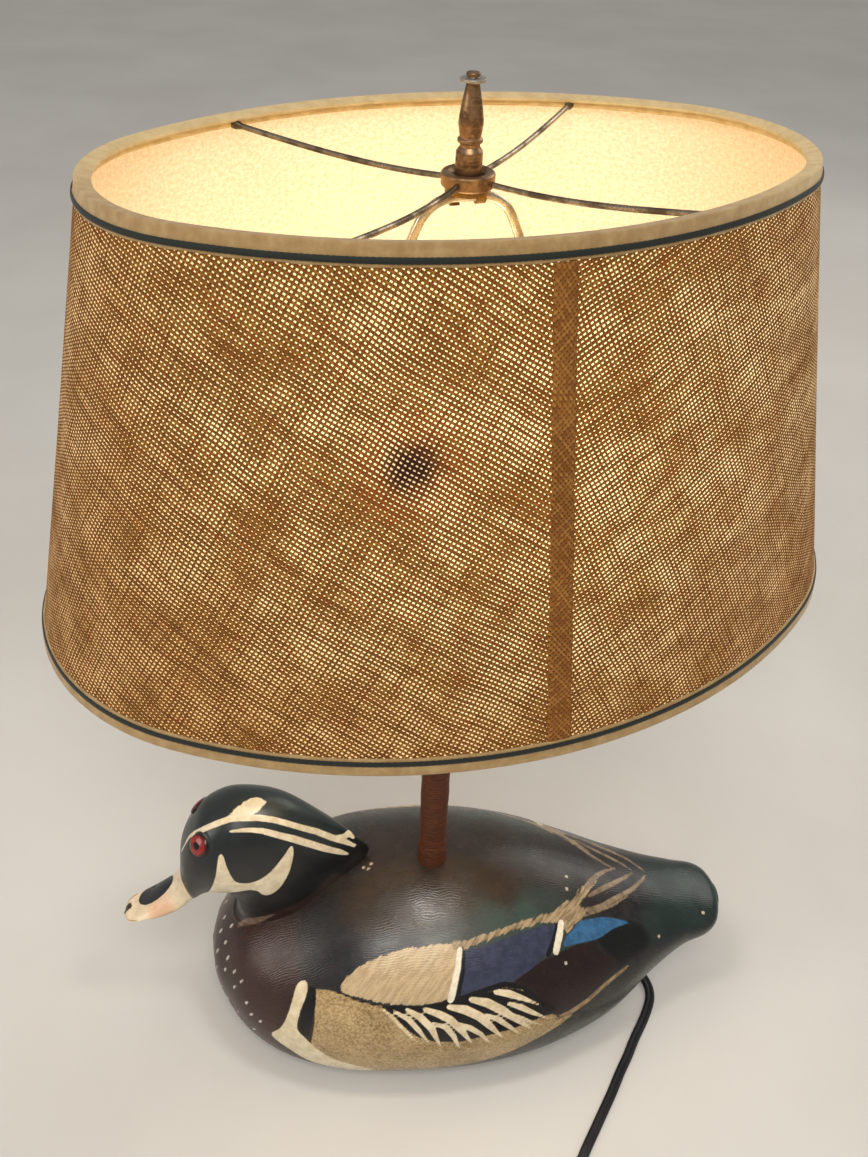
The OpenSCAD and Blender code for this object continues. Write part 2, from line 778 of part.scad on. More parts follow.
module lower_rim_ring() {
    color([0.45, 0.36, 0.22]) round_oval(ring_section(ring_inset));
}

arm_z = plate_top + hub_h / 2 - 0.3;
hub_hole = stud_d + 2 * loose;
hub_dish = 2.5;
ring_up = wall_len - ring_inset;
ring_z = rim_bottom + ring_up * cos(wall_lean) + ring_x * sin(wall_lean);
ring_r = side_arc_r - ring_up * sin(wall_lean) + ring_x * cos(wall_lean);
arm_side = side_y * sin(arm_angle);
arm_run = sqrt(arm_side * arm_side + ring_r * ring_r - side_y * side_y) - arm_side;
arm_from = hub_d / 2 - 2;
arm_rise = ring_z - arm_z;
arm_len = norm([arm_run, arm_rise]);

// The four arms run from the hub's holes to the middle of the ring's inner face
module arms(from, to) {
    for (a = [arm_angle, 180 - arm_angle, 180 + arm_angle, -arm_angle])
        rotate([0, 0, shade_turn + a]) translate([0, 0, arm_z])
            rotate([0, 90 - atan2(arm_rise, arm_run), 0])
            translate([0, 0, from]) cylinder(d = arm_d, h = to - from);
}

module spider_hub() {
    color([0.55, 0.45, 0.33]) difference() {
        translate([0, 0, plate_top]) cylinder(d = hub_d, h = hub_h);
        translate([0, 0, plate_top - cut]) cylinder(d = hub_hole, h = hub_h + 2 * cut);
        translate([0, 0, hub_top - hub_dish]) cylinder(d = finial_d + 1.6, h = hub_dish + cut);
        arms(arm_from, hub_d);
    }
}

module spider_arms() {
    color([0.45, 0.36, 0.22]) arms(arm_from, arm_len - ring_d / 2 + 0.8);
}

// ---- finial ------------------------------------------------------------------------------

module finial() {
    k = finial_h / 37.5;
    foot = finial_d / 2;
    bottom = hub_top - hub_dish;
    profile = [
        [0, -hub_dish], [foot, -hub_dish], [foot, 7.9 * k], [4.35, 9.3 * k], [4.15, 9.6 * k],
        [4.15, 10.9 * k], [5.2, 11.3 * k], [5.2, 12.6 * k], [4.35, 13.2 * k], [4.6, 15 * k],
        [5.1, 18.5 * k], [4.9, 21 * k], [4.2, 25.5 * k], [3.3, 30 * k], [2.7, 33 * k],
        [2.7, 33.9 * k], [5.2, 34.1 * k], [5.2, 35.3 * k], [2.3, 35.5 * k], [2.2, 36 * k],
        [2.9, 36.2 * k], [2.8, 37.2 * k], [2.4, 37.5 * k], [0, 37.5 * k]
    ];
    color([0.50, 0.36, 0.20]) difference() {
        translate([0, 0, hub_top]) rotate_extrude() polygon(profile);
        translate([0, 0, bottom - cut]) cylinder(d = stud_d + 2 * fit, h = hub_dish + 9.5 + cut);
    }
}

// ---- lead --------------------------------------------------------------------------------

// The free lead's route, from the clip under the tail to the coil on the table
lead_z = 1.7;
clip_x = 108;
clip_len = 10;
groove_end = 145 * kx;
ROUTE = [
    [118, 0, 6], [124, 0, 5.4], [131, 0, 3.4], [139, -0.8, 2], [145, -3.3, 1.7],
    [150.2, -7.3, 1.7], [154.1, -12.5, 1.7], [156.6, -18.5, 1.7], [157.5, -25, 1.7],
    [156.6, -31.5, 1.7], [154.3, -37.2, 1.7], [150.7, -43.8, 1.7], [146.5, -50.5, 1.7],
    [139, -61.5, 1.7], [132, -73, 1.7], [124, -85, 1.7], [116, -98, 1.7], [108, -110, 1.7],
    [100, -122, 1.7], [92, -134, 1.7], [85, -146, 1.7], [79, -159, 1.7], [75, -172, 1.7],
    [73.3, -185, 1.7], [73, -202, 1.7]
];
coil_place = [121.6, -202];
coil_lane = lead_w + 0.4;
coil_layer = lead_t + 0.2;

// The lead's section: two round edges joined by flats, width along side, thickness along up
function lead_ring(p, side, up) = let (flat = (lead_w - lead_t) / 2, r = lead_t / 2)
    [for (s = [1, -1], a = [-90:45:90])
        p + side * s * (flat + r * cos(a)) + up * s * r * sin(a)];

// Directions along a route, and the level direction across it
function unit(v) = v / norm(v);
function along(p, i) = unit(p[min(i + 1, len(p) - 1)] - p[max(i - 1, 0)]);
function across(t) = unit(cross([0, 0, 1], t));

inner_z = felt_t + groove_h / 2;
inner_bend = 14;
inner_route = concat(
    [[0, 0, block_z], [0, 0, (block_z + well_top) / 2], [0, 0, inner_z + inner_bend + 4]],
    [for (a = [0:18:90])
        [inner_bend * (1 - cos(a)), 0, inner_z + inner_bend * (1 - sin(a))]],
    [[40, 0, inner_z], [75, 0, inner_z], [clip_x + clip_len, 0, inner_z]]);

module inner_lead() {
    n = len(inner_route) - 1;
    ends = [[0, 0, -1], [1, 0, 0]];
    color([0.06, 0.06, 0.06]) skin([for (i = [0:n])
        let (t = i == 0 ? ends[0] : i == n ? ends[1] : along(inner_route, i))
        lead_ring(inner_route[i], [0, 1, 0], cross(t, [0, 1, 0]))]);
}

module lead_clip() {
    hole_y = (lead_w - lead_t) / 2;
    color([0.20, 0.20, 0.20]) difference() {
        translate([clip_x, -groove_w / 2, felt_t]) cube([clip_len, groove_w, groove_h]);
        translate([clip_x - cut, 0, inner_z]) rotate([90, 0, 90]) linear_extrude(clip_len + 2 * cut) {
            square([2 * hole_y, lead_t], center = true);
            for (s = [-1, 1]) translate([s * hole_y, 0]) circle(d = lead_t);
        }
    }
}

module cord_lead() {
    n = len(ROUTE) - 1;
    color([0.06, 0.06, 0.06]) skin([for (i = [0:n])
        let (t = i == 0 ? [1, 0, 0] : along(ROUTE, i))
        lead_ring(ROUTE[i], across(t), cross(t, across(t)))]);
}

module cord_coil() {
    wide = coil_lanes * coil_lane;
    color([0.06, 0.06, 0.06]) translate([coil_place.x, coil_place.y, 0]) rotate_extrude()
        translate([coil_r - wide / 2, 0]) square([wide, coil_layers * coil_layer]);
}

// A block with round long edges, along +X from the origin
module round_bar(w, t, h) {
    r = min(t, w) / 3;
    rotate([90, 0, 90]) linear_extrude(h) {
        square([w - 2 * r, t], center = true);
        square([w, t - 2 * r], center = true);
        for (y = [-1, 1], z = [-1, 1]) translate([y * (w / 2 - r), z * (t / 2 - r)]) circle(r = r);
    }
}

relief_len = 15;
relief_w = lead_w + 3.6;
relief_t = lead_t + 3.8;
blade_len = 16;
blade_w = 6.35;
blade_t = 1.5;
blade_gap = 12.7;

// The plug lies where the coil's last turn runs off along +X, a quarter lane out from its start
module at_plug() {
    last_r = coil_r + (coil_lanes - 0.5) * coil_lane / 2;
    leave = sqrt(pow(coil_r + coil_lanes * coil_lane / 2, 2) - pow(last_r, 2));
    translate([coil_place.x + leave, coil_place.y - last_r, plug_t / 2]) children();
}

module plug_body() {
    color([0.07, 0.07, 0.07]) at_plug() {
        round_bar(relief_w, relief_t, relief_len);
        translate([relief_len, 0, 0]) round_bar(plug_w, plug_t, plug_len);
    }
}

module plug_blades() {
    color("silver") at_plug() for (s = [-1, 1])
        translate([relief_len + plug_len, s * blade_gap / 2 - blade_t / 2, -blade_w / 2])
            cube([blade_len, blade_t, blade_w]);
}

duck_body();
duck_head();
left_eye();
right_eye();
neck_dowel();
base_felt();
threaded_pipe();
pipe_washer();
pipe_nut();
stem_tube();
stem_lacing();
stem_collar();
harp_saddle();
harp_wire();
harp_top_plate();
harp_sleeve_left();
harp_sleeve_right();
socket_cap();
socket_shell();
socket_insulator();
socket_body();
socket_screw_shell();
socket_contact();
terminal_screws();
switch_knob();
bulb_base();
bulb_glass();
spider_hub();
spider_arms();
upper_rim_ring();
lower_rim_ring();
shade_liner();
shade_burlap();
shade_seam();
upper_tape();
lower_tape();
upper_braid();
lower_braid();
finial();
inner_lead();
lead_clip();
cord_lead();
cord_coil();
plug_body();
plug_blades();
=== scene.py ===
import math
import bpy
import numpy as np
from mathutils import Matrix, Vector


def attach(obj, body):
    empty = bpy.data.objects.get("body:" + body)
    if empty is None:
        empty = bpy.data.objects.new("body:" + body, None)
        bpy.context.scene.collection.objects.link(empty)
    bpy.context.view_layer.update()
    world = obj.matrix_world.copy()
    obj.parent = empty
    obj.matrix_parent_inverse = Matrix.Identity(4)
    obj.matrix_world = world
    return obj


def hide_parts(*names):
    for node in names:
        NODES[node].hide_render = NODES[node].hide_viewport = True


# Lengths are millimetres, apart from Blender's own places and sizes, which are metres
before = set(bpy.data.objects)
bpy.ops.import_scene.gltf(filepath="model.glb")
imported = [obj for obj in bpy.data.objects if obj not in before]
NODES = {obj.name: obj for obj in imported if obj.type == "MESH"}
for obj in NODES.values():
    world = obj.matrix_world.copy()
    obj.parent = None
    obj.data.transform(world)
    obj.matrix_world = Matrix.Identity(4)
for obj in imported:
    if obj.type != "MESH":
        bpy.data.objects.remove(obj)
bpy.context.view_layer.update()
MM = 0.001
TURN = math.radians(15)  # the shade and the harp stand turned on the duck


# ---- helpers: meshes ----

def mesh_piece(name, verts, faces, body, slot, replaced, mat):
    """A smooth shaded piece from points in millimetres."""
    me = bpy.data.meshes.new(name)
    me.from_pydata((np.asarray(verts, float) * MM).tolist(), [], [tuple(f) for f in faces])
    me.polygons.foreach_set("use_smooth", [True] * len(me.polygons))
    me.materials.append(mat.mat)
    ob = bpy.data.objects.new(name, me)
    bpy.context.scene.collection.objects.link(ob)
    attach(ob, body)
    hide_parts(*replaced)
    return ob


def grid_faces(n, m, close_u=False, flip=False):
    """Quads over n rings of m points."""
    i, k = np.meshgrid(np.arange(n if close_u else n - 1), np.arange(m), indexing="ij")
    i, k = i.ravel(), k.ravel()
    a, b = i * m + k, i * m + (k + 1) % m
    c, d = (i + 1) % n * m + (k + 1) % m, (i + 1) % n * m + k
    return np.stack([a, d, c, b] if flip else [a, b, c, d], 1).tolist()


def capped(rows):
    """Verts and faces of closed rings with both ends closed to a middle point."""
    n, m = rows.shape[:2]
    mid = [rows[0].mean(0), rows[-1].mean(0)]
    f = grid_faces(n, m, flip=True)
    f += [(n * m, k, (k + 1) % m) for k in range(m)]
    f += [(n * m + 1, (n - 1) * m + (k + 1) % m, (n - 1) * m + k) for k in range(m)]
    return np.vstack([rows.reshape(-1, 3), mid]), f


def rod_piece(name, rows, *rest):
    """A piece of rings with both its ends closed."""
    return mesh_piece(name, *capped(rows), *rest)


def hoop_piece(name, rows, *rest, flip=False):
    """A piece of rings whose last ring joins the first."""
    return mesh_piece(name, rows.reshape(-1, 3), grid_faces(*rows.shape[:2], close_u=True, flip=flip), *rest)


def carved_piece(name, verts, n, slot, node, mat):
    """A wooden piece of the base, of rings of n points and a flat cap at each end."""
    caps = [list(range(n)), [len(verts) - n + k for k in range(n)][::-1]]
    return mesh_piece(name, verts, grid_faces(len(verts) // n, n, flip=True) + caps, "base", slot, [node], mat)


def put(ob, name, values):
    """A vertex attribute, of numbers or of vectors."""
    values = np.asarray(values, float)
    kind = "FLOAT" if values.ndim == 1 else "FLOAT_VECTOR"
    a = ob.data.attributes.new(name, kind, "POINT")
    a.data.foreach_set("value" if kind == "FLOAT" else "vector", values.astype(np.float32).ravel())


def catmull(rows, counts):
    """A curve through rows of numbers, with counts[i] points from row i to the next."""
    rows = np.asarray(rows, float)
    out = []
    for i in range(len(rows) - 1):
        a, b = rows[max(i - 1, 0)], rows[i]
        c, d = rows[i + 1], rows[min(i + 2, len(rows) - 1)]
        for t in np.arange(counts[i]) / counts[i]:
            out.append(0.5 * (2 * b + (c - a) * t + (2 * a - 5 * b + 4 * c - d) * t * t
                              + (3 * b - a - 3 * c + d) * t ** 3))
    return np.array(out + [rows[-1]])


def turned(p, angle, z=0.0):
    """Points turned about the Z axis and raised."""
    p = np.asarray(p, float)
    c, s = math.cos(angle), math.sin(angle)
    return np.stack([c * p[..., 0] - s * p[..., 1], s * p[..., 0] + c * p[..., 1], p[..., 2] + z], -1)


def circle(n):
    """Cosines and sines of n even steps round a circle."""
    a = np.arange(n) * 2 * math.pi / n
    return np.cos(a), np.sin(a)


def lathe(profile, n):
    """Rings round the Z axis for [r, z] points."""
    c, s = circle(n)
    return np.array([np.stack([r * c, r * s, np.full(n, z)], 1) for r, z in profile])


def tube_rows(points, x, y, radius=1.0, side=(0, 0, 1.0)):
    """Rings about a line: the section x, y times the radius, x lying square to side."""
    p = np.asarray(points, float)
    t = np.gradient(p, axis=0)
    t /= np.linalg.norm(t, axis=1)[:, None]
    s = np.cross(side, t)
    s /= np.linalg.norm(s, axis=1)[:, None]
    u = np.cross(t, s)
    r = np.broadcast_to(np.asarray(radius, float), (len(p),))
    return p[:, None] + r[:, None, None] * (s[:, None] * x[None, :, None] + u[:, None] * y[None, :, None])


# ---- helpers: materials ----

def rgb(r, g, b):
    """A colour given as on a screen, up to 255, in Blender's own values."""
    return tuple(((c / 255 + 0.055) / 1.055) ** 2.4 if c > 10 else c / 255 / 12.92 for c in (r, g, b)) + (1.0,)


class Mat:
    """A node material written with short calls. A socket given as a value is linked."""

    def __init__(self, name, **sockets):
        self.mat = bpy.data.materials.new(name)
        self.mat.use_nodes = True
        self.tree = self.mat.node_tree
        self.shader = self.tree.nodes["Principled BSDF"]
        self.set(**sockets)

    def set(self, **sockets):
        for k, v in sockets.items():
            self.feed(self.shader.inputs[k.replace("_", " ")], v)

    def feed(self, socket, value):
        if isinstance(value, bpy.types.NodeSocket):
            self.tree.links.new(value, socket)
        else:
            socket.default_value = value

    def node(self, kind, out=0, props=None, **inputs):
        n = self.tree.nodes.new("ShaderNode" + kind)
        for k, v in (props or {}).items():
            setattr(n, k, v)
        for k, v in inputs.items():
            key = int(k[1:]) if k[0] == "i" and k[1:].isdigit() else k.replace("_", " ")
            self.feed(n.inputs[key], v)
        return n.outputs[out]

    def math(self, op, a, b=0.0):
        return self.node("Math", props={"operation": op}, i0=a, i1=b)

    def add(self, a, b):
        return self.math("ADD", a, b)

    def mul(self, a, b):
        return self.math("MULTIPLY", a, b)

    def ramp(self, v, lo, hi, to_lo=0.0, to_hi=1.0):
        return self.node("MapRange", props={"interpolation_type": "SMOOTHSTEP"},
                         i0=v, i1=lo, i2=hi, i3=to_lo, i4=to_hi)

    def mix(self, f, a, b, how="MIX"):
        """Colours mixed by f. A colour is a socket or its red, green and blue up to 255."""
        a, b = (rgb(*c) if isinstance(c, tuple) else c for c in (a, b))
        return self.node("Mix", out=2, props={"data_type": "RGBA", "blend_type": how}, i0=f, i6=a, i7=b)

    def attr(self, name, out=2):
        return self.node("Attribute", out=out, props={"attribute_name": name})

    def obj(self):
        return self.node("TexCoord", out=3)

    def axis(self, v, k):
        return self.node("SeparateXYZ", out=k, Vector=v)

    def scaled(self, v, s):
        return self.node("VectorMath", props={"operation": "MULTIPLY"}, i0=v, i1=s)

    def times(self, v, s):
        return self.node("VectorMath", props={"operation": "SCALE"}, i0=v, Scale=s)

    def away(self, v, place):
        return self.node("VectorMath", out=1, props={"operation": "DISTANCE"}, i0=v, i1=place)

    def noise(self, v, scale, detail=3.0, rough=0.55, out=0):
        return self.node("TexNoise", out=out, Vector=v, Scale=scale, Detail=detail, Roughness=rough)

    def patches(self, v, scale, detail, rough, lo, hi):
        return self.ramp(self.noise(v, scale, detail, rough), lo, hi)

    def bump(self, h, strength, dist, normal=None):
        more = {} if normal is None else {"Normal": normal}
        return self.node("Bump", Strength=strength, Distance=dist, Height=h, **more)


def metal(name, bright, dull, rough, worn, scale):
    """Old metal: two tones, grime in patches, fine scratches."""
    m = Mat(name, Metallic=1.0)
    v = m.obj()
    patch = m.patches(v, scale, 6.0, 0.65, 0.40, 0.62)
    fine = m.noise(m.scaled(v, (1.0, 1.0, 0.25)), scale * 14)
    dirt = m.patches(v, scale * 0.6, 8.0, 0.7, 0.55, 0.75)
    col = m.mix(m.mul(dirt, 0.6 * worn), m.mix(m.mul(patch, worn), bright, dull), (60, 45, 25))
    rough_v = m.add(m.mul(patch, 0.25 * worn), m.ramp(fine, 0.2, 0.8, rough - 0.08, rough + 0.12))
    m.set(Base_Color=col, Roughness=rough_v, Normal=m.bump(fine, 0.08, 0.0004))
    return m


def two_tone(name, a, b, noise, ramp=None, bump=None, fine=None, **sockets):
    """A plain material: noise mixes two colours, and it or a finer noise raises the surface."""
    m = Mat(name, **sockets)
    tone = m.noise(m.obj(), *noise)
    if ramp:
        tone = m.ramp(tone, *ramp)
    m.set(Base_Color=m.mix(tone, a, b))
    if bump:
        m.set(Normal=m.bump(m.noise(m.obj(), *fine) if fine else tone, *bump))
    return m


def paint_nodes(mat, *names):
    """Gives carried-over CAD nodes their material."""
    for name in names:
        materials = NODES[name].data.materials
        materials.clear()
        materials.append(mat.mat)


# ---- camera, stage and light ----

CAM_PLACE, CAM_LOOK, CAM_ROLL = (-0.0510, -0.4551, 0.7015), (0.0773, 0.7912, -0.6066), math.radians(2.595)

cam_data = bpy.data.cameras.new("camera")
cam = bpy.data.objects.new("camera", cam_data)
bpy.context.scene.collection.objects.link(cam)
cam_data.sensor_fit = "VERTICAL"
cam_data.sensor_height = 36
cam_data.lens = 34.23
cam_data.clip_start = 0.01
look = Vector(CAM_LOOK).normalized()
level = look.cross(Vector((0, 0, 1))).normalized()
right = level * math.cos(CAM_ROLL) + level.cross(look) * math.sin(CAM_ROLL)
up = right.cross(look)
cam.matrix_world = Matrix([[right[i], up[i], -look[i], CAM_PLACE[i]] for i in range(3)] + [[0, 0, 0, 1]])
bpy.context.scene.camera = cam
bpy.context.scene.view_settings.view_transform = "Standard"

me = bpy.data.meshes.new("floor")
me.from_pydata([(-6, -6, 0), (6, -6, 0), (6, 6, 0), (-6, 6, 0)], [], [(0, 1, 2, 3)])
floor = bpy.data.objects.new("floor", me)
me.materials.append(two_tone("floor", (206, 202, 196), (214, 211, 205), (3.0, 5.0), (0.3, 0.7), Roughness=0.85).mat)
bpy.context.scene.collection.objects.link(floor)

world = bpy.data.worlds.new("world")
bpy.context.scene.world = world
world.use_nodes = True
bg = world.node_tree.nodes["Background"]
bg.inputs[0].default_value = (1.0, 0.985, 0.96, 1)
bg.inputs[1].default_value = 0.42


def lamp(name, place, aim, size, power, tint=(1.0, 0.96, 0.9)):
    """A soft rectangular lamp, in metres and watts."""
    d = bpy.data.lights.new(name, "AREA")
    d.shape = "RECTANGLE"
    d.size, d.size_y = size
    d.energy = power
    d.color = tint
    o = bpy.data.objects.new(name, d)
    o.location = place
    o.rotation_euler = (Vector(aim) - Vector(place)).to_track_quat("-Z", "Y").to_euler()
    bpy.context.scene.collection.objects.link(o)


lamp("key", (-0.1, -1.3, 2.15), (0, 0, 0.2), (1.1, 0.9), 28)
lamp("back", (1.3, 1.1, 1.3), (0, 0, 0.2), (1.2, 0.8), 8)
lamp("pool", (0.01, -0.08, 0.45), (0.01, -0.08, 0), (0.10, 0.04), 0.36)  # the lit shade's light on the back
lamp("side", (-1.9, -0.6, 1.0), (0, 0, 0.25), (0.9, 0.9), 9, (1.0, 0.95, 0.88))

# ---- the lead ----

ROUTE = [
    [118, 0, 6], [124, 0, 5.4], [131, 0, 3.4], [139, -0.8, 2], [145, -3.3, 1.7],
    [150.2, -7.3, 1.7], [154.1, -12.5, 1.7], [156.6, -18.5, 1.7], [157.5, -25, 1.7],
    [156.6, -31.5, 1.7], [154.3, -37.2, 1.7], [150.7, -43.8, 1.7], [146.5, -50.5, 1.7],
    [139, -61.5, 1.7], [132, -73, 1.7], [124, -85, 1.7], [116, -98, 1.7], [108, -110, 1.7],
    [100, -122, 1.7], [92, -134, 1.7], [85, -146, 1.7], [79, -159, 1.7], [75, -172, 1.7],
    [73.3, -185, 1.7], [73, -202, 1.7]]
COIL = (121.6, -202.0)
LANE = 6.8  # from one turn of the coil to the next
FLOOR_Z, LAYER = 1.7, 3.4  # the lead's middle on the floor, and the step up to the second layer
INNER_R, INNER_TURN, TURNS = 28.2, 3, 6.25  # the coil winds in for three turns, then out again on top
TURN_STEPS = 36
RUN_OUT = 13.2  # from the coil's last point straight to the plug
PLUG = (COIL[0] + RUN_OUT, COIL[1] - 50.3, 7.5)
CORE = 1.6  # the radius of one of the lead's two cores
line = list(catmull(ROUTE, [4] * (len(ROUTE) - 1)))
for t in np.arange(1, TURNS * TURN_STEPS + 1) / TURN_STEPS:
    a = math.pi + 2 * math.pi * t
    r = INNER_R + LANE * abs(t - INNER_TURN)
    z = FLOOR_Z + LAYER * min(max(0.5 + (t - INNER_TURN) / 0.24, 0), 1)
    line.append([COIL[0] + r * math.cos(a), COIL[1] + r * math.sin(a), z])
for k in range(1, 7):
    line.append([COIL[0] + RUN_OUT * k / 6, PLUG[1], FLOOR_Z + LAYER])
line = np.array(line)
# The last turn rises gently to the plug's middle
back = np.concatenate([np.cumsum(np.linalg.norm(np.diff(line[::-1], axis=0), axis=1))[::-1], [0]])
ease = np.clip(1 - back / 42, 0, 1)
line[:, 2] += (PLUG[2] - FLOOR_Z - LAYER) * ease * ease * (3 - 2 * ease)

flex = two_tone("black_flex", (20, 20, 24), (34, 34, 38), (40.0, 4.0), (0.4, 0.7), (0.08, 0.0003), (900.0, 2.0),
                Roughness=0.5, Specular_IOR_Level=0.35)


def flat_ring():
    """The lead's section: two round cores side by side with a shallow valley between them."""
    c, s = circle(24)
    x = 2 * CORE * c
    y = np.sign(s) * np.sqrt(np.maximum(0, CORE ** 2 - (np.abs(x) - CORE) ** 2))
    return x, np.where(np.abs(x) < 0.5, np.sign(s) * 1.15, y)


cord = rod_piece("cord", tube_rows(line, *flat_ring()), "base", "black_flex", ["cord_lead", "cord_coil"], flex)

# The plug: a moulded body with grips and a ribbed, tapered relief, as [along, width, height]
rows = []
for x, w, h in [
        (0, 8.6, 5.6), (0.4, 9.6, 6.6), (2, 9.8, 6.8), (2.3, 8.8, 6.0), (3.6, 8.9, 6.1), (3.9, 10.2, 7.2),
        (5.6, 10.4, 7.4), (5.9, 9.2, 6.4), (7.2, 9.4, 6.5), (7.5, 11.0, 7.8), (9.2, 11.2, 8), (9.5, 9.9, 6.9),
        (10.8, 10, 7), (11.1, 11.8, 8.4), (13, 12.2, 8.8), (14.6, 15, 10.5), (16, 20, 13.5), (18, 23, 14.7),
        (21, 24, 15), (25, 24, 14.6), (27, 23.4, 12.2), (32, 23.2, 11.8), (35, 23.6, 12.4), (37, 24, 14.6),
        (39.4, 24, 15), (40.4, 23.6, 14.6), (41, 22.4, 13.4)]:
    c, s = circle(40)
    e = 0.62 if x > 15 else 0.85
    rows.append(np.stack([np.full(40, x), w / 2 * np.sign(c) * np.abs(c) ** e, h / 2 * np.sign(s) * np.abs(s) ** e],
                         1) + PLUG)
plug_mat = two_tone("black_plug", (22, 22, 24), (40, 39, 40), (90.0, 5.0), (0.35, 0.7), (0.12, 0.0003), (1400.0, 2.0),
                    Roughness=0.42)
plug = rod_piece("plug", np.array(rows), "base", "black_plug", ["plug_body"], plug_mat)
paint_nodes(metal("plug_blades", (205, 195, 160), (150, 135, 95), 0.28, 0.35, 120), "plug_blades")

# ---- the carved duck ----

BODY_RING, HEAD_RING = 260, 180  # points round each ring
# A row of the body: x, the top's z, half width, the bottom's z, then the last three of rings()'s stations.
# A row of the head is one whole station.
BODY = [
    [-146, 50, 3, 46, .50, 2.0, 2.0], [-143, 61, 23, 30, .50, 2.0, 2.0],
    [-135, 73, 39, 12, .48, 2.0, 2.0], [-120, 88, 58, 0, .46, 2.0, 2.3],
    [-95, 103, 75, -6, .44, 1.9, 2.6], [-60, 118, 87, -7, .42, 1.9, 2.8],
    [-20, 125, 91, -7, .42, 1.85, 2.8], [20, 125, 90, -7, .42, 1.85, 2.8],
    [60, 119, 83, -7, .43, 1.85, 2.7], [95, 109, 70, -6, .45, 1.9, 2.6],
    [125, 99, 55, 0, .50, 2.0, 2.4], [150, 92, 40, 22, .58, 2.1, 2.2],
    [170, 87, 31, 44, .62, 2.3, 2.2], [186, 84, 27, 56, .60, 2.3, 2.2],
    [194, 82, 20, 64, .55, 2.2, 2.2], [198, 79, 8, 72, .50, 2.0, 2.0]]
HEAD = [
    [-98.5, 1, -98.5, 3, 2, .50, 2.0, 2.0], [-97, 2, -96.5, 5.5, 8, .50, 2.2, 2.0],
    [-90.5, 4, -89, 9, 11.7, .45, 2.1, 2.0], [-77, 3.5, -75, 20.5, 13, .42, 1.9, 2.0],
    [-64, 10, -63, 30, 14.5, .42, 1.9, 2.1], [-54, 19, -59.5, 44, 17, .50, 2.1, 2.2],
    [-47, 24.5, -57, 62, 20, .55, 2.2, 2.2], [-42, 27.5, -49, 80, 23.5, .55, 2.3, 2.2],
    [-37, 28, -38, 92.5, 26.5, .50, 2.2, 2.2], [-31, 26, -19, 100, 28, .48, 2.1, 2.2],
    [-27, 17, 8, 93, 28.5, .46, 2.0, 2.3], [-26, 9, 33, 73, 27, .44, 1.7, 2.3],
    [-26, 3, 51, 53, 25.5, .42, 1.4, 2.3], [-27, -2, 60, 37, 24, .42, 1.2, 2.3],
    [-28, -7, 50, 24, 24, .45, 1.6, 2.2], [-31, -10, 40, 14, 27, .50, 2.0, 2.0],
    [-27.8, -19.5, 43.2, 4.5, 27, .50, 2.0, 2.0]]


def rings(stations, n):
    """Closed rings of n points for each section, evenly spaced from the top's midline.

    A station is the bottom's x and z, the top's x and z, the half width, the widest place's share of
    the height, and the roundness above and below it."""
    a = np.linspace(math.pi / 2, -math.pi / 2, 721)
    s, c = np.sin(a), np.cos(a)
    out, girths = [], []
    for x0, z0, x1, z1, w, mid, nu, nl in stations:
        p = 2 / np.where(s >= 0, nu, nl)
        g = np.abs(s) ** p
        v = np.where(s >= 0, mid + (1 - mid) * g, mid - mid * g)
        half = np.stack([x0 + (x1 - x0) * v, w * np.abs(c) ** p, z0 + (z1 - z0) * v], 1)
        run = np.concatenate([[0], np.cumsum(np.linalg.norm(np.diff(half, axis=0), axis=1))])
        at = np.linspace(0, run[-1], n // 2 + 1)
        h = np.stack([np.interp(at, run, half[:, k]) for k in range(3)], 1)
        h[0, 1] = h[-1, 1] = 0
        out.append(np.vstack([h, h[-2:0:-1] * [1, -1, 1]]))
        girths.append(np.concatenate([at, at[-2:0:-1]]))
    return np.array(out), np.array(girths)


def domed(rows, girths, deep, steps=5):
    """Closes both ends with a small dome."""
    out, g = list(rows), list(girths)
    for end, then in ((0, 1), (-1, -2)):
        c = rows[end].mean(0)
        away = c - rows[then].mean(0)
        away /= np.linalg.norm(away)
        for k in range(1, steps):
            t = k / steps * math.pi / 2
            at = 0 if end == 0 else len(out)
            out.insert(at, c + (rows[end] - c) * math.cos(t) + away * deep[end] * math.sin(t))
            g.insert(at, girths[end] * math.cos(t))
    return np.array(out), np.array(g)


def nearest(p, line, widths=None):
    """Distance from points to a line, less half the line's width at the nearest place."""
    best = np.full(len(p), 1e9)
    w = np.zeros(len(line)) if widths is None else widths
    for i in range(len(line) - 1):
        ab = line[i + 1] - line[i]
        t = np.clip(((p - line[i]) @ ab) / max(ab @ ab, 1e-9), 0, 1)
        d = np.linalg.norm(p - line[i] - t[:, None] * ab, axis=1)
        best = np.minimum(best, d - (w[i] + (w[i + 1] - w[i]) * t) / 2)
    return best


def rounded(points, n, closed=True):
    """A smooth polygon or line through the points, with n steps from each to the next."""
    q = np.asarray(points, float)
    if closed:
        q = np.vstack([q[-1], q, q[0], q[1]])
        return catmull(q, [n] * (len(q) - 1))[n:-n - 1]
    return catmull(q, [n] * (len(q) - 1))


def area(p, points, n=0):
    """Signed distance to a polygon, below 0 inside, its outline drawn as a curve when n is given."""
    poly = rounded(points, n) if n else np.asarray(points, float)
    d = nearest(p, np.vstack([poly, poly[:1]]))
    inside = np.zeros(len(p), bool)
    for (xa, ya), (xb, yb) in zip(poly, np.roll(poly, -1, axis=0)):
        cross = (ya > p[:, 1]) != (yb > p[:, 1])
        at = xa + (p[:, 1] - ya) * (xb - xa) / (yb - ya if yb != ya else 1e-9)
        inside ^= cross & (p[:, 0] < at)
    return np.where(inside, -d, d)


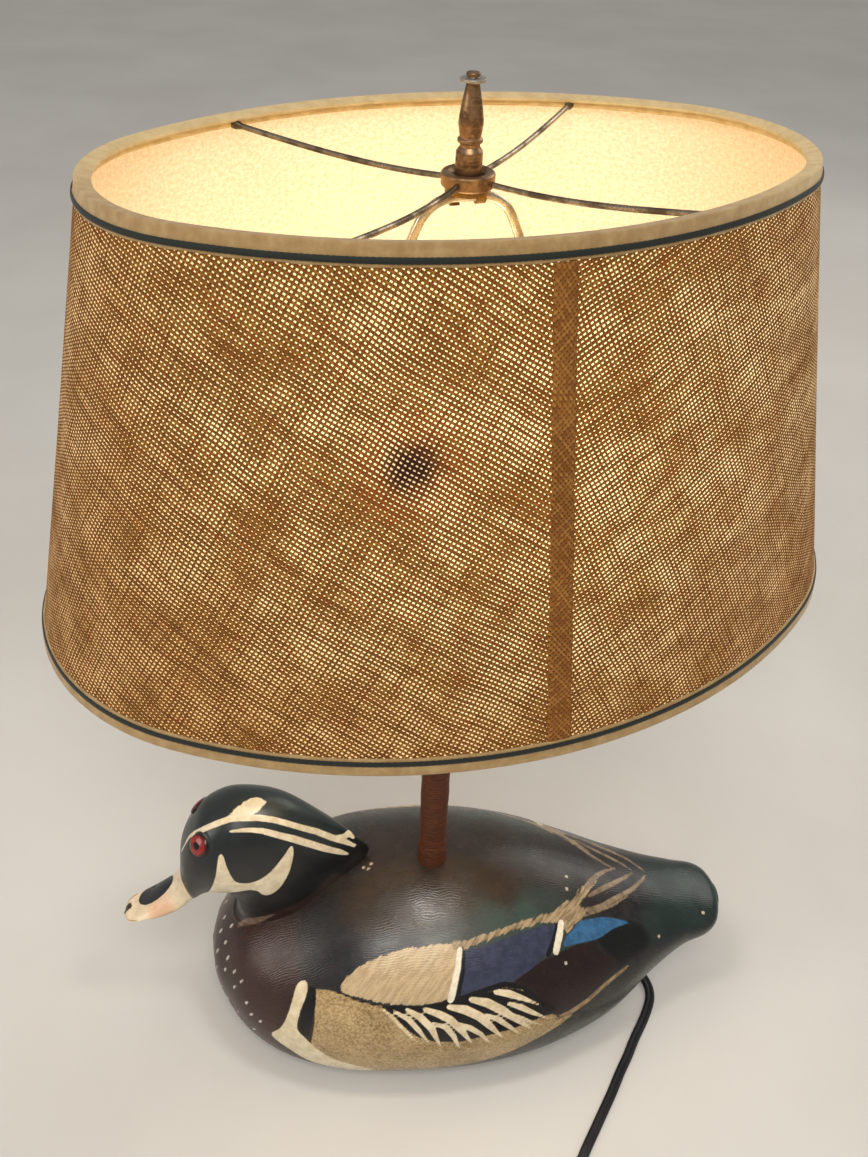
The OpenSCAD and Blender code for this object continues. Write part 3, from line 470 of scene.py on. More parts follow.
def strokes(p, *lines):
    """Signed distance to brush strokes, each a line of points with widths spread along it."""
    best = np.full(len(p), 1e9)
    for points, widths in lines:
        pts = np.asarray(points, float)
        at = np.linspace(0, 1, 8 * len(pts))
        line = np.stack([np.interp(at, np.linspace(0, 1, len(pts)), c) for c in pts.T], 1)
        best = np.minimum(best, nearest(p, line, np.interp(at, np.linspace(0, 1, len(widths)), widths)))
    return best


def within(d, soft):
    """1 where a signed distance is below 0, fading to 0 outside."""
    return 1 / (1 + np.exp(np.clip(d / soft, -30, 30)))


def ridge(d, width):
    """1 at distance 0, fading away on both sides."""
    return np.exp(-(d / width) ** 2)


def blended(p, anchors, reach):
    """Colours spread smoothly from listed anchors: [*place, r, g, b]."""
    k = p.shape[1]
    total, weight = np.zeros((len(p), 3)), np.zeros(len(p))
    for a in anchors:
        w = 1 / (((p - np.array(a[:k])) ** 2).sum(1) / reach ** 2 + 0.02) ** 2
        total += w[:, None] * np.array(rgb(*a[k:]))[:3]
        weight += w
    return total / weight[:, None]


# Rings 1 mm apart along the painted wings and 1.5 mm apart elsewhere
gaps = [max(2, math.ceil((b[0] - a[0]) / (1.0 if -100 < a[0] < 80 else 1.5))) for a, b in zip(BODY, BODY[1:])]
P, girth = domed(*rings(catmull([[x, b, x, t, w, m, nu, nl] for x, t, w, b, m, nu, nl in BODY], gaps), BODY_RING),
                 (0.4, 1.0))
P = P.reshape(-1, 3)
# Paint is placed by x and by the girth from the painter's middle line, 6 mm to the right of the ridge
side_g = np.where(P[:, 1] > 0, 1, -1) * girth.ravel()
XG = np.stack([P[:, 0], np.where(side_g < 6, -side_g, side_g - 12)], 1)

FLANK_TOP = [(-75, 74), (-66, 77), (-57, 82), (-48, 87), (-38, 91), (-28, 93), (-10, 95), (2, 93), (14, 90),
             (30, 85), (42, 81), (54, 82), (62, 88), (70, 96), (79, 102)]
# Shallow carving: a cut along the flank's top edge, under which the flank lies lower
cut = nearest(XG, rounded(FLANK_TOP, 6, closed=False))
inward = np.stack([np.zeros(len(P)), -P[:, 1], 50 - P[:, 2]], 1)
inward /= np.linalg.norm(inward, axis=1)[:, None] + 1e-9
below = area(XG, FLANK_TOP + [(95, 100), (110, 170), (-60, 170)])
depth = 0.8 * ridge(cut, 1.6) + 0.5 * within(below, 0.9) * np.clip(1 - np.abs(XG[:, 1] - 96) / 60, 0, 1)
P = P + inward * depth[:, None]
P[:, 2] = np.maximum(P[:, 2], 2.0)
# The lead's groove under the tail takes in the points close to its sides
GROOVE_HALF, GROOVE_TOP, GROOVE_END = 5, 10.0, 145
groove = (np.abs(P[:, 1]) < GROOVE_HALF + 0.6) & (P[:, 0] > 0) & (P[:, 0] < GROOVE_END) & (P[:, 2] < GROOVE_TOP)
P[groove, 2] = GROOVE_TOP
P[groove, 1] = np.clip(P[groove, 1], -GROOVE_HALF, GROOVE_HALF)

wood_body = Mat("painted_wood_body")
body = carved_piece("duck_body_carved", P, BODY_RING, "painted_wood_body", "duck_body", wood_body)
X, T = XG.T
flat = np.zeros(len(P))
put(body, "xg", np.stack([P[:, 0], side_g, flat], 1))
put(body, "feather", np.stack([0.64 * X - 0.77 * T, 0.77 * X + 0.64 * T, flat], 1))
put(body, "base_colour", blended(XG, [
    (-120, 5, 34, 26, 23), (-130, 45, 42, 27, 23), (-100, 45, 52, 35, 30), (-95, 90, 44, 27, 22),
    (-60, 5, 34, 30, 28), (-70, 40, 36, 36, 38), (-60, 60, 30, 31, 36), (-30, 10, 48, 39, 33),
    (-30, 40, 46, 42, 40), (-25, 62, 40, 42, 44), (0, 12, 48, 38, 31), (10, 30, 52, 43, 37), (5, 45, 58, 58, 56),
    (10, 54, 62, 68, 64), (40, 12, 42, 33, 27), (45, 24, 44, 37, 32), (38, 44, 56, 72, 66), (58, 38, 52, 68, 62),
    (75, 29, 44, 56, 52), (75, 10, 40, 32, 28), (100, 10, 28, 23, 20), (125, 15, 21, 20, 21), (140, 10, 21, 22, 24),
    (145, 30, 26, 30, 32), (160, 15, 26, 34, 32), (180, 12, 32, 46, 41), (192, 20, 26, 38, 35), (165, 40, 20, 24, 24),
    # The near-black anchors low down, at (150, 70) and (100, 120), are painted shade under the body and tail
    (130, 50, 18, 19, 21), (150, 70, 13, 13, 13), (100, 120, 14, 13, 12), (0, 150, 80, 68, 52)], 24))

# The tan band over the wing runs a little lower on the right side, ahead of the tail
XB = np.stack([X, T - np.where(side_g > 6, 9 * np.clip((80 - P[:, 0]) / 40, 0, 1), 0)], 1)
BODY_PAINT = {name: area(XG, points, n) for name, (n, points) in {
    "breast": (3, [(-150, -16), (-134, -16), (-132, 1), (-125, 9), (-115, 15), (-105, 17), (-96, 18.5), (-93, 24),
        (-91, 34), (-88, 46), (-86, 60), (-86, 68), (-90, 84), (-96, 95), (-100, 103), (-100, 165), (-150, 165)]),
    "flank": (0, FLANK_TOP[:1] + FLANK_TOP + [
        (86, 98), (89, 100), (81, 109), (67, 121), (48, 136), (28, 148), (0, 158), (-30, 168), (-66, 152),
        (-80, 118), (-76, 96)]),
    "bar_white": (4, [(-83, 66), (-80, 69), (-81, 76), (-85, 85), (-87, 96), (-82, 105), (-74, 118), (-64, 131),
        (-52, 140), (-40, 150), (-50, 154), (-68, 145), (-81, 133), (-91, 118), (-104, 99), (-98, 93), (-94, 87),
        (-90, 77), (-87, 68)]),
    "bar_black": (4, [(-79, 71), (-75, 74), (-75, 82), (-77, 91), (-81, 105), (-86, 97), (-85, 90), (-83, 82),
        (-80, 75)]),
    "patch": (4, [(-59, 78), (-57, 72), (-51, 68), (-43, 64.5), (-34, 61.5), (-22, 59.5), (-8, 58), (8, 57.5),
        (15, 60), (13, 72), (8, 89), (-8, 93), (-22, 92.5), (-36, 89), (-46, 85), (-55, 81.5)]),
    "speculum": (0, [(15, 62), (31, 58), (47, 52), (61, 46), (78, 41), (76, 47), (73, 55), (70, 61), (60, 70),
        (49, 78), (44, 82), (31, 86), (13, 91), (9, 91), (13, 83), (15, 72)]),
    "blue": (3, [(94, 37), (102, 34), (113, 31), (123, 31), (129, 32), (120, 36), (114, 40), (107, 45), (100, 48),
        (91, 51), (82, 54), (84, 48), (89, 43)]),
    "burgundy": (3, [(104, 47), (107, 52), (114, 55), (118, 60), (110, 72), (100, 84), (91, 94), (81, 102),
        (71, 97), (64, 89), (54, 83), (47, 80), (57, 71), (68, 64), (79, 58), (90, 52), (98, 49)]),
    "rear_black": (3, [(104, 43), (108, 41), (117, 36), (128, 32), (137, 32), (143, 41), (136, 50), (127, 56),
        (120, 59.5), (115, 55), (107, 50)]),
    "tail_green": (4, [(147, -20), (150, 8), (147, 14), (143, 30), (150, 40), (166, 34), (186, 26), (200, 12),
        (200, -20)]),
    # Painted shade: the dark region low on the body and under the tail stands for the shadow there
    "under": (0, [(131, 64), (119, 78), (108, 90), (95, 104), (81, 117), (67, 129), (48, 142), (28, 152), (0, 162),
        (-30, 172), (-30, 190), (210, 190), (210, 60), (150, 56)]),
    "black_zone": (0, [(-38, 91), (-23, 93), (-7, 94), (5, 92), (15, 90), (25, 87), (33, 85.5), (40, 83), (49, 83),
        (57, 85), (64, 89), (72, 95), (76, 99.5), (68, 101.5), (59, 106), (46, 112), (36, 115), (26, 118),
        (14, 121), (-1, 120), (-13, 115), (-21, 107), (-28, 98), (-34, 93)]),
    "band": (3, [(70, 41), (84, 31), (99, 27), (97, 34), (90, 40), (85, 45), (80, 40)]),
}.items()}
BODY_PAINT |= {name: strokes(XG, *lines) for name, lines in {
    "spec_edge": [([(17, 62), (16, 74), (12, 91)], [2.4, 2.4, 2.4]), ([(79, 41), (76, 50), (71, 61)], [3, 3, 3])],
    "bar1": [([(14.5, 60.5), (13, 71), (10.5, 81), (8, 91)], [3, 3.6, 4, 4.4])],
    "bar2": [([(81.5, 39.5), (79.5, 48), (76.5, 58)], [3.6, 4.4, 4])],
    "spit": [([(78, 103), (87, 97.5), (98, 88.5), (109, 77), (119, 67.5), (127.5, 60)],
              [4, 3.4, 3, 2.6, 2.4, 1.4])],
    "neck_streak": [([(-126, 15.5), (-118, 17.5), (-109, 20), (-98, 21)], [2, 4, 4, 1.5])],
    "wing_line": [(FLANK_TOP[1:], [0.8, 1.2, 1.4, 1.6, 1.8, 2, 2.2, 2.6, 3.4, 3.8, 3.6, 3, 2.4, 1.6])],
    "leaves": [
        ([(-34, 93.5), (-27, 101), (-20, 110), (-13, 119)], [1.2, 2.2, 2.2, 1]),
        ([(-27, 96), (-18, 102), (-12, 110), (-5, 121)], [1.8, 3.4, 3.2, 1]),
        ([(-19, 96), (-11, 101), (-4, 109), (2, 124)], [2.4, 4.4, 4.8, 1]),
        ([(-8, 96.5), (1, 100), (8, 104), (15, 112), (22, 123)], [2.8, 4.8, 5, 4.4, 1]),
        ([(7, 95.5), (17, 97.5), (26, 102), (33, 109), (42, 119)], [3.2, 6, 6, 4.8, 1]),
        ([(21, 91), (31, 93), (40, 97.5), (50, 104), (61, 112)], [3.4, 6, 6, 4.4, 1]),
        ([(36.5, 85.8), (45, 86.7), (54, 89.2), (66, 93.5)], [3.4, 5, 3.4, 1]),
        ([(-3, 106), (5, 109), (10, 116), (14, 127)], [2, 3.8, 3.6, 1]),
        ([(13, 107), (20, 110), (27, 115), (34, 124)], [2.2, 4, 3.4, 1]),
        ([(30, 101), (38, 104), (46, 110), (53, 116)], [2.2, 4, 3.2, 1]),
        ([(45, 93.2), (53, 95.4), (61, 99), (71, 103)], [2.6, 4.2, 3.4, 1]),
        ([(48, 100.5), (54, 103), (60, 106), (67, 108.5)], [1.6, 2.6, 2.2, 1])],
    "tips": [
        ([(102, 13), (106, 8), (112, 2), (119, -3), (126, -6)], [3, 3.4, 3, 2.2, 1]),
        ([(103, 19), (112, 13), (123, 6), (132, 0), (138, -5)], [2, 3.2, 3.2, 2.4, 1]),
        ([(99, 29), (110, 25), (122, 17), (135, 9), (144, 0), (147, -4)], [2, 3.2, 3, 2.8, 2, 1]),
        ([(97, 33), (106, 29), (118, 23), (131, 14)], [1, 1.6, 1.6, 0.8])],
}.items()}
BODY_PAINT["band"] = np.minimum(BODY_PAINT["band"], strokes(XB, (
    [(12, 59), (24, 56), (38, 51), (52, 45), (66, 40.5), (80, 34), (90, 27), (97, 20), (104, 12), (108, 7)],
    [4.6, 4, 3.4, 3.4, 3.6, 4.5, 7, 6, 5, 3.5, 2.5])))


def dots(radius, *places):
    """Signed distance to round dots of one size."""
    return np.min([np.hypot(X - x, T - g) - radius for x, g in places], axis=0)


BODY_PAINT["dots"] = dots(
    1.3, (-137, 1), (-139, 9), (-135, 20), (-141, 20), (-133, 31), (-135, 37), (-128, 43), (-123, 52), (-128, 53),
    (-120, 68), (-117, 78), (-111, 85), (-131, 12), (-142, 30), (-138, 48), (-134, 61), (-127, 75), (-116, 94))
# Chips in the paint are on the left side only
BODY_PAINT["chips"] = np.where(P[:, 1] <= 0, dots(
    1.2, (88, 17), (183, 20), (150, 38), (83, 64), (-39, 2), (-44, 4), (-41, 5.5), (89, 8)), 50.0)
for k, d in BODY_PAINT.items():
    put(body, k, d)


def layers(m, colour, rows, rough_noise, coarse):
    """Lays each painted region over the last: [name, colour a, colour b, ragged mm, soft mm]."""
    for name, a, b, ragged, soft in rows:
        d = m.attr(name)
        if ragged:
            d = m.add(d, m.mul(m.add(rough_noise, -0.5), ragged))
        colour = m.mix(m.ramp(d, soft, -soft), colour, m.mix(coarse, a, b))
    return colour


m = wood_body
xg = m.attr("xg", 1)
obj = m.obj()
streak = m.noise(m.scaled(xg, (0.9, 0.35, 1)), 1.0, 3.0, 0.6)
feather = m.noise(m.scaled(m.attr("feather", 1), (0.08, 0.42, 1)), 1.0, 4.0, 0.65)
grain = m.patches(obj, 620.0, 3.0, 0.75, 0.36, 0.64)
gold = m.patches(obj, 34.0, 4.0, 0.6, 0.3, 0.7)
mottle = m.patches(obj, 160.0, 5.0, 0.7, 0.35, 0.65)
worn = m.patches(obj, 22.0, 6.0, 0.6, 0.35, 0.7)
col = m.mix(m.mul(mottle, 0.16), m.attr("base_colour", 0), (78, 66, 58))
col = m.mix(m.mul(worn, 0.25), col, (28, 23, 21))
col = layers(m, col, [
    # painted shade under the body and the tail
    ("under", (16, 13, 12), (24, 20, 17), 4, 3.0),
    ("tail_green", (32, 48, 43), (24, 36, 33), 5, 11.0),
    ("rear_black", (8, 9, 10), (12, 13, 14), 3, 3.0),
    ("breast", (58, 38, 32), (44, 28, 24), 3, 0.8)], streak, worn)
col = layers(m, col, [
    ("neck_streak", (118, 94, 74), (92, 72, 56), 2.0, 0.6),
    ("burgundy", (34, 17, 14), (26, 13, 11), 5.0, 0.7),
    ("speculum", (56, 60, 80), (42, 46, 64), 0, 0.4),
    ("spec_edge", (16, 16, 22), (12, 12, 16), 0.8, 0.5)], streak, mottle)
col = layers(m, col, [
    ("patch", (190, 168, 132), (170, 146, 112), 6.0, 0.5),
    ("band", (164, 144, 112), (118, 98, 72), 9.0, 0.4)], feather, m.ramp(feather, 0.38, 0.62))
col = layers(m, col, [("flank", (194, 168, 124), (116, 90, 50), 0, 0.6)], feather,
             m.add(m.mul(grain, 0.6), m.mul(gold, 0.4)))
col = layers(m, col, [
    ("black_zone", (13, 12, 12), (19, 18, 17), 3.0, 0.5),
    ("leaves", (228, 212, 180), (200, 180, 146), 0, 0.35),
    ("blue", (56, 102, 142), (42, 80, 116), 0.8, 0.4),
    ("spit", (156, 130, 96), (112, 90, 62), 1.4, 0.5),
    ("tips", (140, 120, 94), (98, 82, 62), 1.6, 0.5),
    ("wing_line", (12, 11, 11), (18, 16, 16), 1.0, 0.4),
    ("bar_black", (11, 10, 11), (16, 15, 15), 0.8, 0.4),
    ("bar_white", (222, 208, 178), (202, 186, 152), 1.0, 0.4),
    ("bar1", (232, 224, 204), (210, 200, 176), 0.9, 0.35),
    ("bar2", (232, 224, 204), (210, 200, 176), 0.9, 0.35),
    ("dots", (200, 192, 186), (170, 158, 150), 0.8, 0.35),
    ("chips", (200, 186, 172), (170, 150, 130), 1.6, 0.3)], streak, mottle)
comb = m.node("TexWave", props={"wave_type": "BANDS", "bands_direction": "Y"},
              Vector=xg, Scale=0.2, Distortion=16.0, Detail=3.0, Detail_Scale=0.35)
height = m.add(m.mul(comb, 0.6), m.mul(m.noise(obj, 900.0, 3.0, 0.6), 0.4))
m.set(Base_Color=col, Roughness=m.ramp(m.noise(obj, 60.0, 5.0), 0.3, 0.7, 0.21, 0.32), Specular_IOR_Level=0.38,
      Normal=m.bump(height, 0.15, 0.0005, m.bump(m.noise(obj, 45.0, 4.0), 0.15, 0.001)))

# The head, in its own place and direction: Q is the surface, A the same with both sides laid on one
NECK, HEAD_TURN, EYE = np.array([-100.0, 0, 90]), math.radians(6), (-45.2, 16.7, 80)
spans = [math.hypot(b[2] - a[2], b[3] - a[3]) for a, b in zip(HEAD, HEAD[1:])]
Q, _ = domed(*rings(catmull(HEAD, [max(3, math.ceil(s / 1.1)) for s in spans]), HEAD_RING), (1.0, 0.2))
grid = Q
Q = Q.reshape(-1, 3)
# The stripes' middle line lies 3 mm to the right of the crest
A = Q.copy()
A[:, 1] = np.where(Q[:, 1] < 3, -Q[:, 1], Q[:, 1] - 6)
SIDE, TOP = A[:, [0, 2]], Q[:, :2]
across = np.abs(Q[:, 1])
HALF = np.stack([Q[:, 0], across, Q[:, 2]], 1)

bill_edge = rounded([(-64, 33), (-61.5, 37), (-60, 41.5), (-58, 42.5), (-56, 40), (-54, 35.5), (-52.5, 30),
                     (-51.5, 23), (-51, 15), (-51, 5)], 4, closed=False)
bill = area(SIDE, bill_edge.tolist() + [(-51, -20), (-120, -20), (-120, 33)])
HEAD_PAINT = {
    "bill": bill,
    "lip": np.where(A[:, 2] < 46, np.abs(bill) - 0.5, 9.0),
    "bill_patch": np.where(A[:, 2] > 7, area(TOP, [
        (-66, 5), (-67, 0), (-71, -3.5), (-75, -4.8), (-80, -4.8), (-85, -3.2), (-88.5, 0.5), (-89.5, 4.5),
        (-87.5, 9), (-82, 12), (-75, 13), (-68, 11)], 4), 30.0),
    "nail": area(TOP, [(-99, 2), (-98, 4.5), (-95.5, 5), (-94, 3), (-94, 1), (-96.5, -0.5), (-98.6, -0.5)], 4),
    "wedge": np.where((A[:, 2] > 85) & (Q[:, 1] < 3), area(A[:, :2], [
        (-26, 11), (-20.5, 7), (-16, 4), (-11, 1), (-8, 0.5), (-5, 2), (-3, 3.5), (-6, 7.5), (-9.5, 10.5),
        (-13, 12.5), (-19, 14)]), 30.0),
    "strap": area(SIDE, [
        (-43, 38), (-40.5, 47), (-38, 56), (-36, 64), (-35, 70), (-34, 75), (-33, 78), (-31.5, 79), (-30.4, 77),
        (-29.8, 73), (-28.8, 68), (-27, 61), (-25.5, 57), (-23, 55), (-19, 54), (-15, 54.5), (-11, 56), (-6, 59),
        (-2, 62.5), (2, 66.5), (6, 70.5), (9, 73.5), (10.6, 73), (11, 69), (9.5, 62), (7, 54.5), (3, 47), (0, 43),
        (-3.5, 40), (-7, 39), (-10, 41), (-12.5, 45), (-17, 47), (-21, 46), (-25, 44), (-29, 40.5), (-31.5, 33),
        (-33, 24), (-42, 24), (-43, 32)], 3),
    "neck_brown": area(SIDE, [
        (-60, -8), (-30, -8), (-26, -6), (-17, 7), (-6, 16), (4, 21), (14, 24), (25, 29), (34, 36), (60, 30),
        (70, -30), (-60, -30)]),
    "crest": area(SIDE, [(50, 47), (55, 49), (66, 46), (66, 24), (40, 30), (33, 43), (42, 42)]),
    "stripe": strokes(A, (
        [(-56.5, 5.5, 63), (-54.5, 6.5, 70), (-50.5, 6.5, 77), (-47, 8.5, 82), (-42, 11, 87), (-36, 12, 91),
         (-30, 12.5, 94), (-24, 12.5, 96), (-18, 13, 96), (-8, 13, 94.5), (1, 13, 91), (11, 13, 85), (17, 12, 80),
         (26, 10, 72.5), (36, 8.5, 63), (45, 6.5, 54.5), (54, 3.5, 43.5)],
        [1.2, 1.7, 2.2, 2.8, 3.4, 3.6, 3.8, 3.8, 3.8, 3.7, 3.6, 3.6, 3.6, 3.8, 4, 3.6, 1.6]),
        ([(37, 8, 62), (43, 4.5, 58), (47, 1.5, 57), (50, 2, 53)], [3, 3.6, 4.4, 2])),
    "stripe2": strokes(A, (
        [(-25, 18, 91), (-18, 18, 91), (-12, 18, 90), (-6, 18.5, 88.5), (0, 18.5, 85), (11, 17.5, 77.5),
         (21, 16, 69), (31, 13, 59), (40, 10, 50.5), (46, 8.5, 45)],
        [1.6, 2.6, 3.0, 3.4, 3.8, 4.4, 4.4, 4.2, 3.6, 1.4])),
    "streak": strokes(A, ([(-26, 12, -8), (-19, 16, -1), (-12, 21, 7), (-4, 24, 14)], [3, 6, 5, 1.5])),
    "blush": np.linalg.norm(Q - [-74, -11, 15], axis=1) - 9,
    "spot": np.linalg.norm(Q - [-64, -1, 31.5], axis=1) - 1.6,
}
# Carving: the bill lies a step lower, with a mouth line and nostrils, and a ring runs round the eye
normal = np.cross(np.roll(grid, -1, axis=1) - np.roll(grid, 1, axis=1), np.gradient(grid, axis=0)).reshape(-1, 3)
normal /= np.linalg.norm(normal, axis=1)[:, None] + 1e-9
normal *= np.sign((normal * (Q - np.repeat(grid.mean(1), HEAD_RING, axis=0))).sum(1))[:, None]
mouth = np.where(Q[:, 0] < -53, np.abs(Q[:, 2] - np.interp(Q[:, 0], [-98, -90, -77, -64, -54],
                                                           [2.6, 5.4, 8.5, 15.5, 25])), 9)
nostril = np.linalg.norm((HALF - [-79, 8.6, 15]) * [0.45, 1, 1], axis=1)
eye = np.linalg.norm(HALF - EYE, axis=1)
HEAD_PAINT["mouth"] = np.where(across > 5, mouth - 0.35, 9.0)
HEAD_PAINT["socket"] = eye - 8.4
move = -0.6 * within(bill, 0.7) - np.where(across > 4, 0.6 * ridge(mouth, 0.8), 0)
move -= 0.7 * ridge(nostril, 1.2) + 0.6 * ridge(eye - 8.0, 1.3)
for k in ("stripe", "stripe2", "strap", "wedge"):  # thick paint stands out a little
    move += 0.12 * within(HEAD_PAINT[k], 0.4)
wood_head = Mat("painted_wood_head")
head = carved_piece("duck_head_carved", turned(Q + normal * move[:, None], HEAD_TURN) + NECK, HEAD_RING,
                    "painted_wood_head", "duck_head", wood_head)
for k, d in HEAD_PAINT.items():
    put(head, k, d)
put(head, "base_colour", blended(HALF, [
    (-50, 15, 62, 8, 8, 9), (-42, 8, 90, 16, 26, 26), (-20, 6, 99, 22, 34, 34), (0, 8, 95, 22, 36, 34),
    (30, 4, 74, 22, 33, 32), (-10, 22, 80, 14, 17, 17), (-20, 27, 65, 9, 9, 10), (10, 24, 60, 11, 10, 11),
    (20, 22, 40, 9, 9, 9), (50, 6, 44, 7, 7, 7), (-30, 20, 30, 8, 8, 8), (0, 26, 30, 9, 9, 9)], 20))

m = wood_head
obj = m.obj()
streak = m.noise(obj, 420.0, 3.0, 0.6)
mottle = m.patches(obj, 130.0, 5.0, 0.7, 0.35, 0.65)
col = m.mix(m.mul(mottle, 0.10), m.attr("base_colour", 0), (50, 60, 56))
cream, cream2 = (232, 219, 190), (210, 192, 158)
col = layers(m, col, [
    ("neck_brown", (54, 37, 31), (42, 27, 23), 1.5, 0.7),
    ("streak", (132, 108, 88), (104, 82, 66), 1.5, 0.7),
    ("strap", cream, cream2, 0.6, 0.35),
    ("bill", (232, 214, 184), (214, 192, 156), 0.4, 0.35),
    ("blush", (224, 176, 142), (214, 178, 144), 6.0, 5.0),
    ("lip", (96, 52, 30), (120, 70, 42), 0.6, 0.45),
    ("bill_patch", (18, 20, 24), (26, 27, 31), 0.8, 0.3),
    ("nail", (40, 26, 22), (56, 36, 32), 1.2, 0.35),
    ("spot", (96, 70, 44), (80, 58, 40), 1.0, 0.4),
    ("mouth", (176, 140, 104), (160, 124, 90), 0.3, 0.5),
    ("wedge", cream, cream2, 3.0, 0.4),
    ("stripe", cream, cream2, 0.5, 0.3),
    ("stripe2", cream, cream2, 0.5, 0.3),
    ("crest", (10, 11, 12), (14, 16, 16), 0.8, 0.5),
    ("socket", (12, 9, 9), (20, 14, 13), 0.4, 0.4)], streak, mottle)
m.set(Base_Color=col, Roughness=m.ramp(m.noise(obj, 60.0, 5.0), 0.3, 0.7, 0.30, 0.44),
      Coat_Weight=0.15, Coat_Roughness=0.25,
      Normal=m.bump(m.noise(obj, 800.0), 0.14, 0.0003, m.bump(m.noise(obj, 60.0, 4.0), 0.12, 0.001)))

# Eyes: glass domes with a dark pupil and a red ring, the right one sunk 1 mm deeper
bend = np.linspace(0.02, 1, 22) * math.pi / 2
dome = lathe([(7.0 * math.sin(a), 2.5 * math.cos(a) - 0.8) for a in bend] + [(6.8, -1.4)], 48)
pan, lift = math.radians(42), math.radians(32)
for name, s in (("left_eye", -1), ("right_eye", 1)):
    out = np.array([-math.cos(pan) * math.cos(lift), s * math.sin(pan) * math.cos(lift), math.sin(lift)])
    u = np.cross([0, 0, 1], out)
    u /= np.linalg.norm(u)
    place = np.array([EYE[0], s * EYE[1], EYE[2]]) - out * (s > 0)
    tip = (turned(place + 1.7 * out, HEAD_TURN) + NECK) * MM
    e = Mat(name, Roughness=0.12)
    d = e.away(e.obj(), tuple(tip))
    ring = e.mix(e.ramp(e.noise(e.obj(), 500.0, 4.0), 0.3, 0.7), (156, 42, 38), (112, 24, 24))
    ring = e.mix(e.ramp(d, 0.0050, 0.0068), ring, (40, 12, 11))
    e.set(Base_Color=e.mix(e.ramp(d, 0.0021, 0.0028), (5, 4, 4), ring))
    rows = turned(dome @ np.stack([u, np.cross(out, u), out]) + place, HEAD_TURN) + NECK
    rod_piece(name + "_glass", rows, "base", "glass_eye", [name], e)

# ---- plain CAD nodes ----

old_brass = metal("old_brass", (150, 112, 58), (92, 70, 44), 0.34, 0.8, 90)
bright_brass = metal("bright_brass", (190, 150, 80), (140, 108, 60), 0.26, 0.5, 80)
steel = metal("steel", (150, 150, 150), (100, 96, 90), 0.36, 0.7, 100)
hub_metal = metal("hub", (150, 118, 84), (98, 74, 54), 0.36, 0.8, 140)
paint_nodes(bright_brass, "threaded_pipe", "stem_tube", "socket_contact", "socket_cap", "socket_shell")
paint_nodes(steel, "pipe_washer", "pipe_nut", "terminal_screws", "bulb_base")
paint_nodes(old_brass, "stem_collar", "harp_saddle", "harp_sleeve_left", "harp_sleeve_right",
            "socket_screw_shell", "harp_top_plate")
paint_nodes(flex, "inner_lead")
# The rim wires are wrapped in the tape's cloth; its emission is a faint painted glow of the bulb's light
paint_nodes(two_tone("ring_tape", (206, 180, 128), (186, 156, 104), (140.0, 5.0, 0.6), (0.4, 0.6), (0.3, 0.0004),
                     Roughness=0.85, Emission_Color=rgb(226, 170, 96), Emission_Strength=0.15),
            "upper_rim_ring", "lower_rim_ring")
paint_nodes(two_tone("green_felt", (22, 60, 40), (48, 92, 66), (1600.0, 4.0, 0.7), None, (0.8, 0.0006),
                     Roughness=0.95, Sheen_Weight=0.4), "base_felt")
paint_nodes(two_tone("black_phenolic", (26, 20, 18), (44, 34, 30), (260.0, 5.0), None, (0.05, 0.0004),
                     Roughness=0.3), "socket_body", "switch_knob")
paint_nodes(two_tone("clip_plastic", (40, 40, 42), (62, 60, 60), (300.0, 4.0), None, (0.1, 0.0004),
                     Roughness=0.5), "lead_clip")
paint_nodes(two_tone("bulb_glass", (250, 246, 236), (242, 236, 222), (90.0,), Roughness=0.35,
                     Emission_Color=(1.0, 0.78, 0.46, 1.0), Emission_Strength=5.0), "bulb_glass")

dowel = Mat("dowel_wood", Roughness=0.6)
w = dowel.node("TexWave", props={"wave_type": "RINGS"}, Vector=dowel.obj(), Scale=90.0, Distortion=6.0, Detail=3.0)
dowel.set(Base_Color=dowel.mix(w, (196, 160, 112), (160, 120, 78)))
paint_nodes(dowel, "neck_dowel")
paper = Mat("fibre_paper", Roughness=0.85)
w = paper.noise(paper.scaled(paper.obj(), (1, 1, 0.2)), 700.0, 5.0)
paper.set(Base_Color=paper.mix(w, (150, 118, 76), (186, 154, 108)))
paint_nodes(paper, "socket_insulator")

# ---- stem, harp and finial ----

SEAT, COLLAR, ROUND_STEM = 123.0, 343.0, 56
PITCH = 1.55  # from one turn of the lacing to the next
zz, tt = np.meshgrid(np.arange(SEAT + 0.1, COLLAR - 0.05, 0.3), np.arange(ROUND_STEM) * 2 * math.pi / ROUND_STEM,
                     indexing="ij")
swell = np.interp(zz, [SEAT, SEAT + 17, SEAT + 20, COLLAR], [9.45, 9.45, 8.77, 8.75])
lead_turn = zz / PITCH - tt / (2 * math.pi)
turn = np.floor(lead_turn)
wound = lead_turn + 0.10 * np.sin(tt * 2 + turn * 1.7) + 0.08 * np.sin(tt * 3 + turn * 2.9)
prof = np.abs(np.sin(math.pi * wound))
rad = swell - 0.62 + 0.5 * np.sqrt(prof) + 0.10 * np.sin(turn * 12.9898 + 1.3)
rad += 0.12 * ridge(np.sin(tt + zz / 9.0) - 0.9, 0.12)
rows = np.vstack([lathe([(8.0, SEAT + 0.1), (8.6, SEAT + 0.02)], ROUND_STEM),
                  np.stack([rad * np.cos(tt), rad * np.sin(tt), zz], -1),
                  lathe([(8.4, COLLAR - 0.02), (8.0, COLLAR - 0.1)], ROUND_STEM)])
lacing = Mat("stem_lacing")
lace = hoop_piece("stem_winding", rows, "base", "stem_lacing", ["stem_lacing"], lacing)
for k, d in (("wound", wound), ("deep", prof)):
    put(lace, k, np.pad(d, ((2, 2), (0, 0))).ravel())
m = lacing
n1 = m.noise(m.node("CombineXYZ", X=m.attr("wound"), Y=0.0, Z=0.0), 1.0, 1.0)
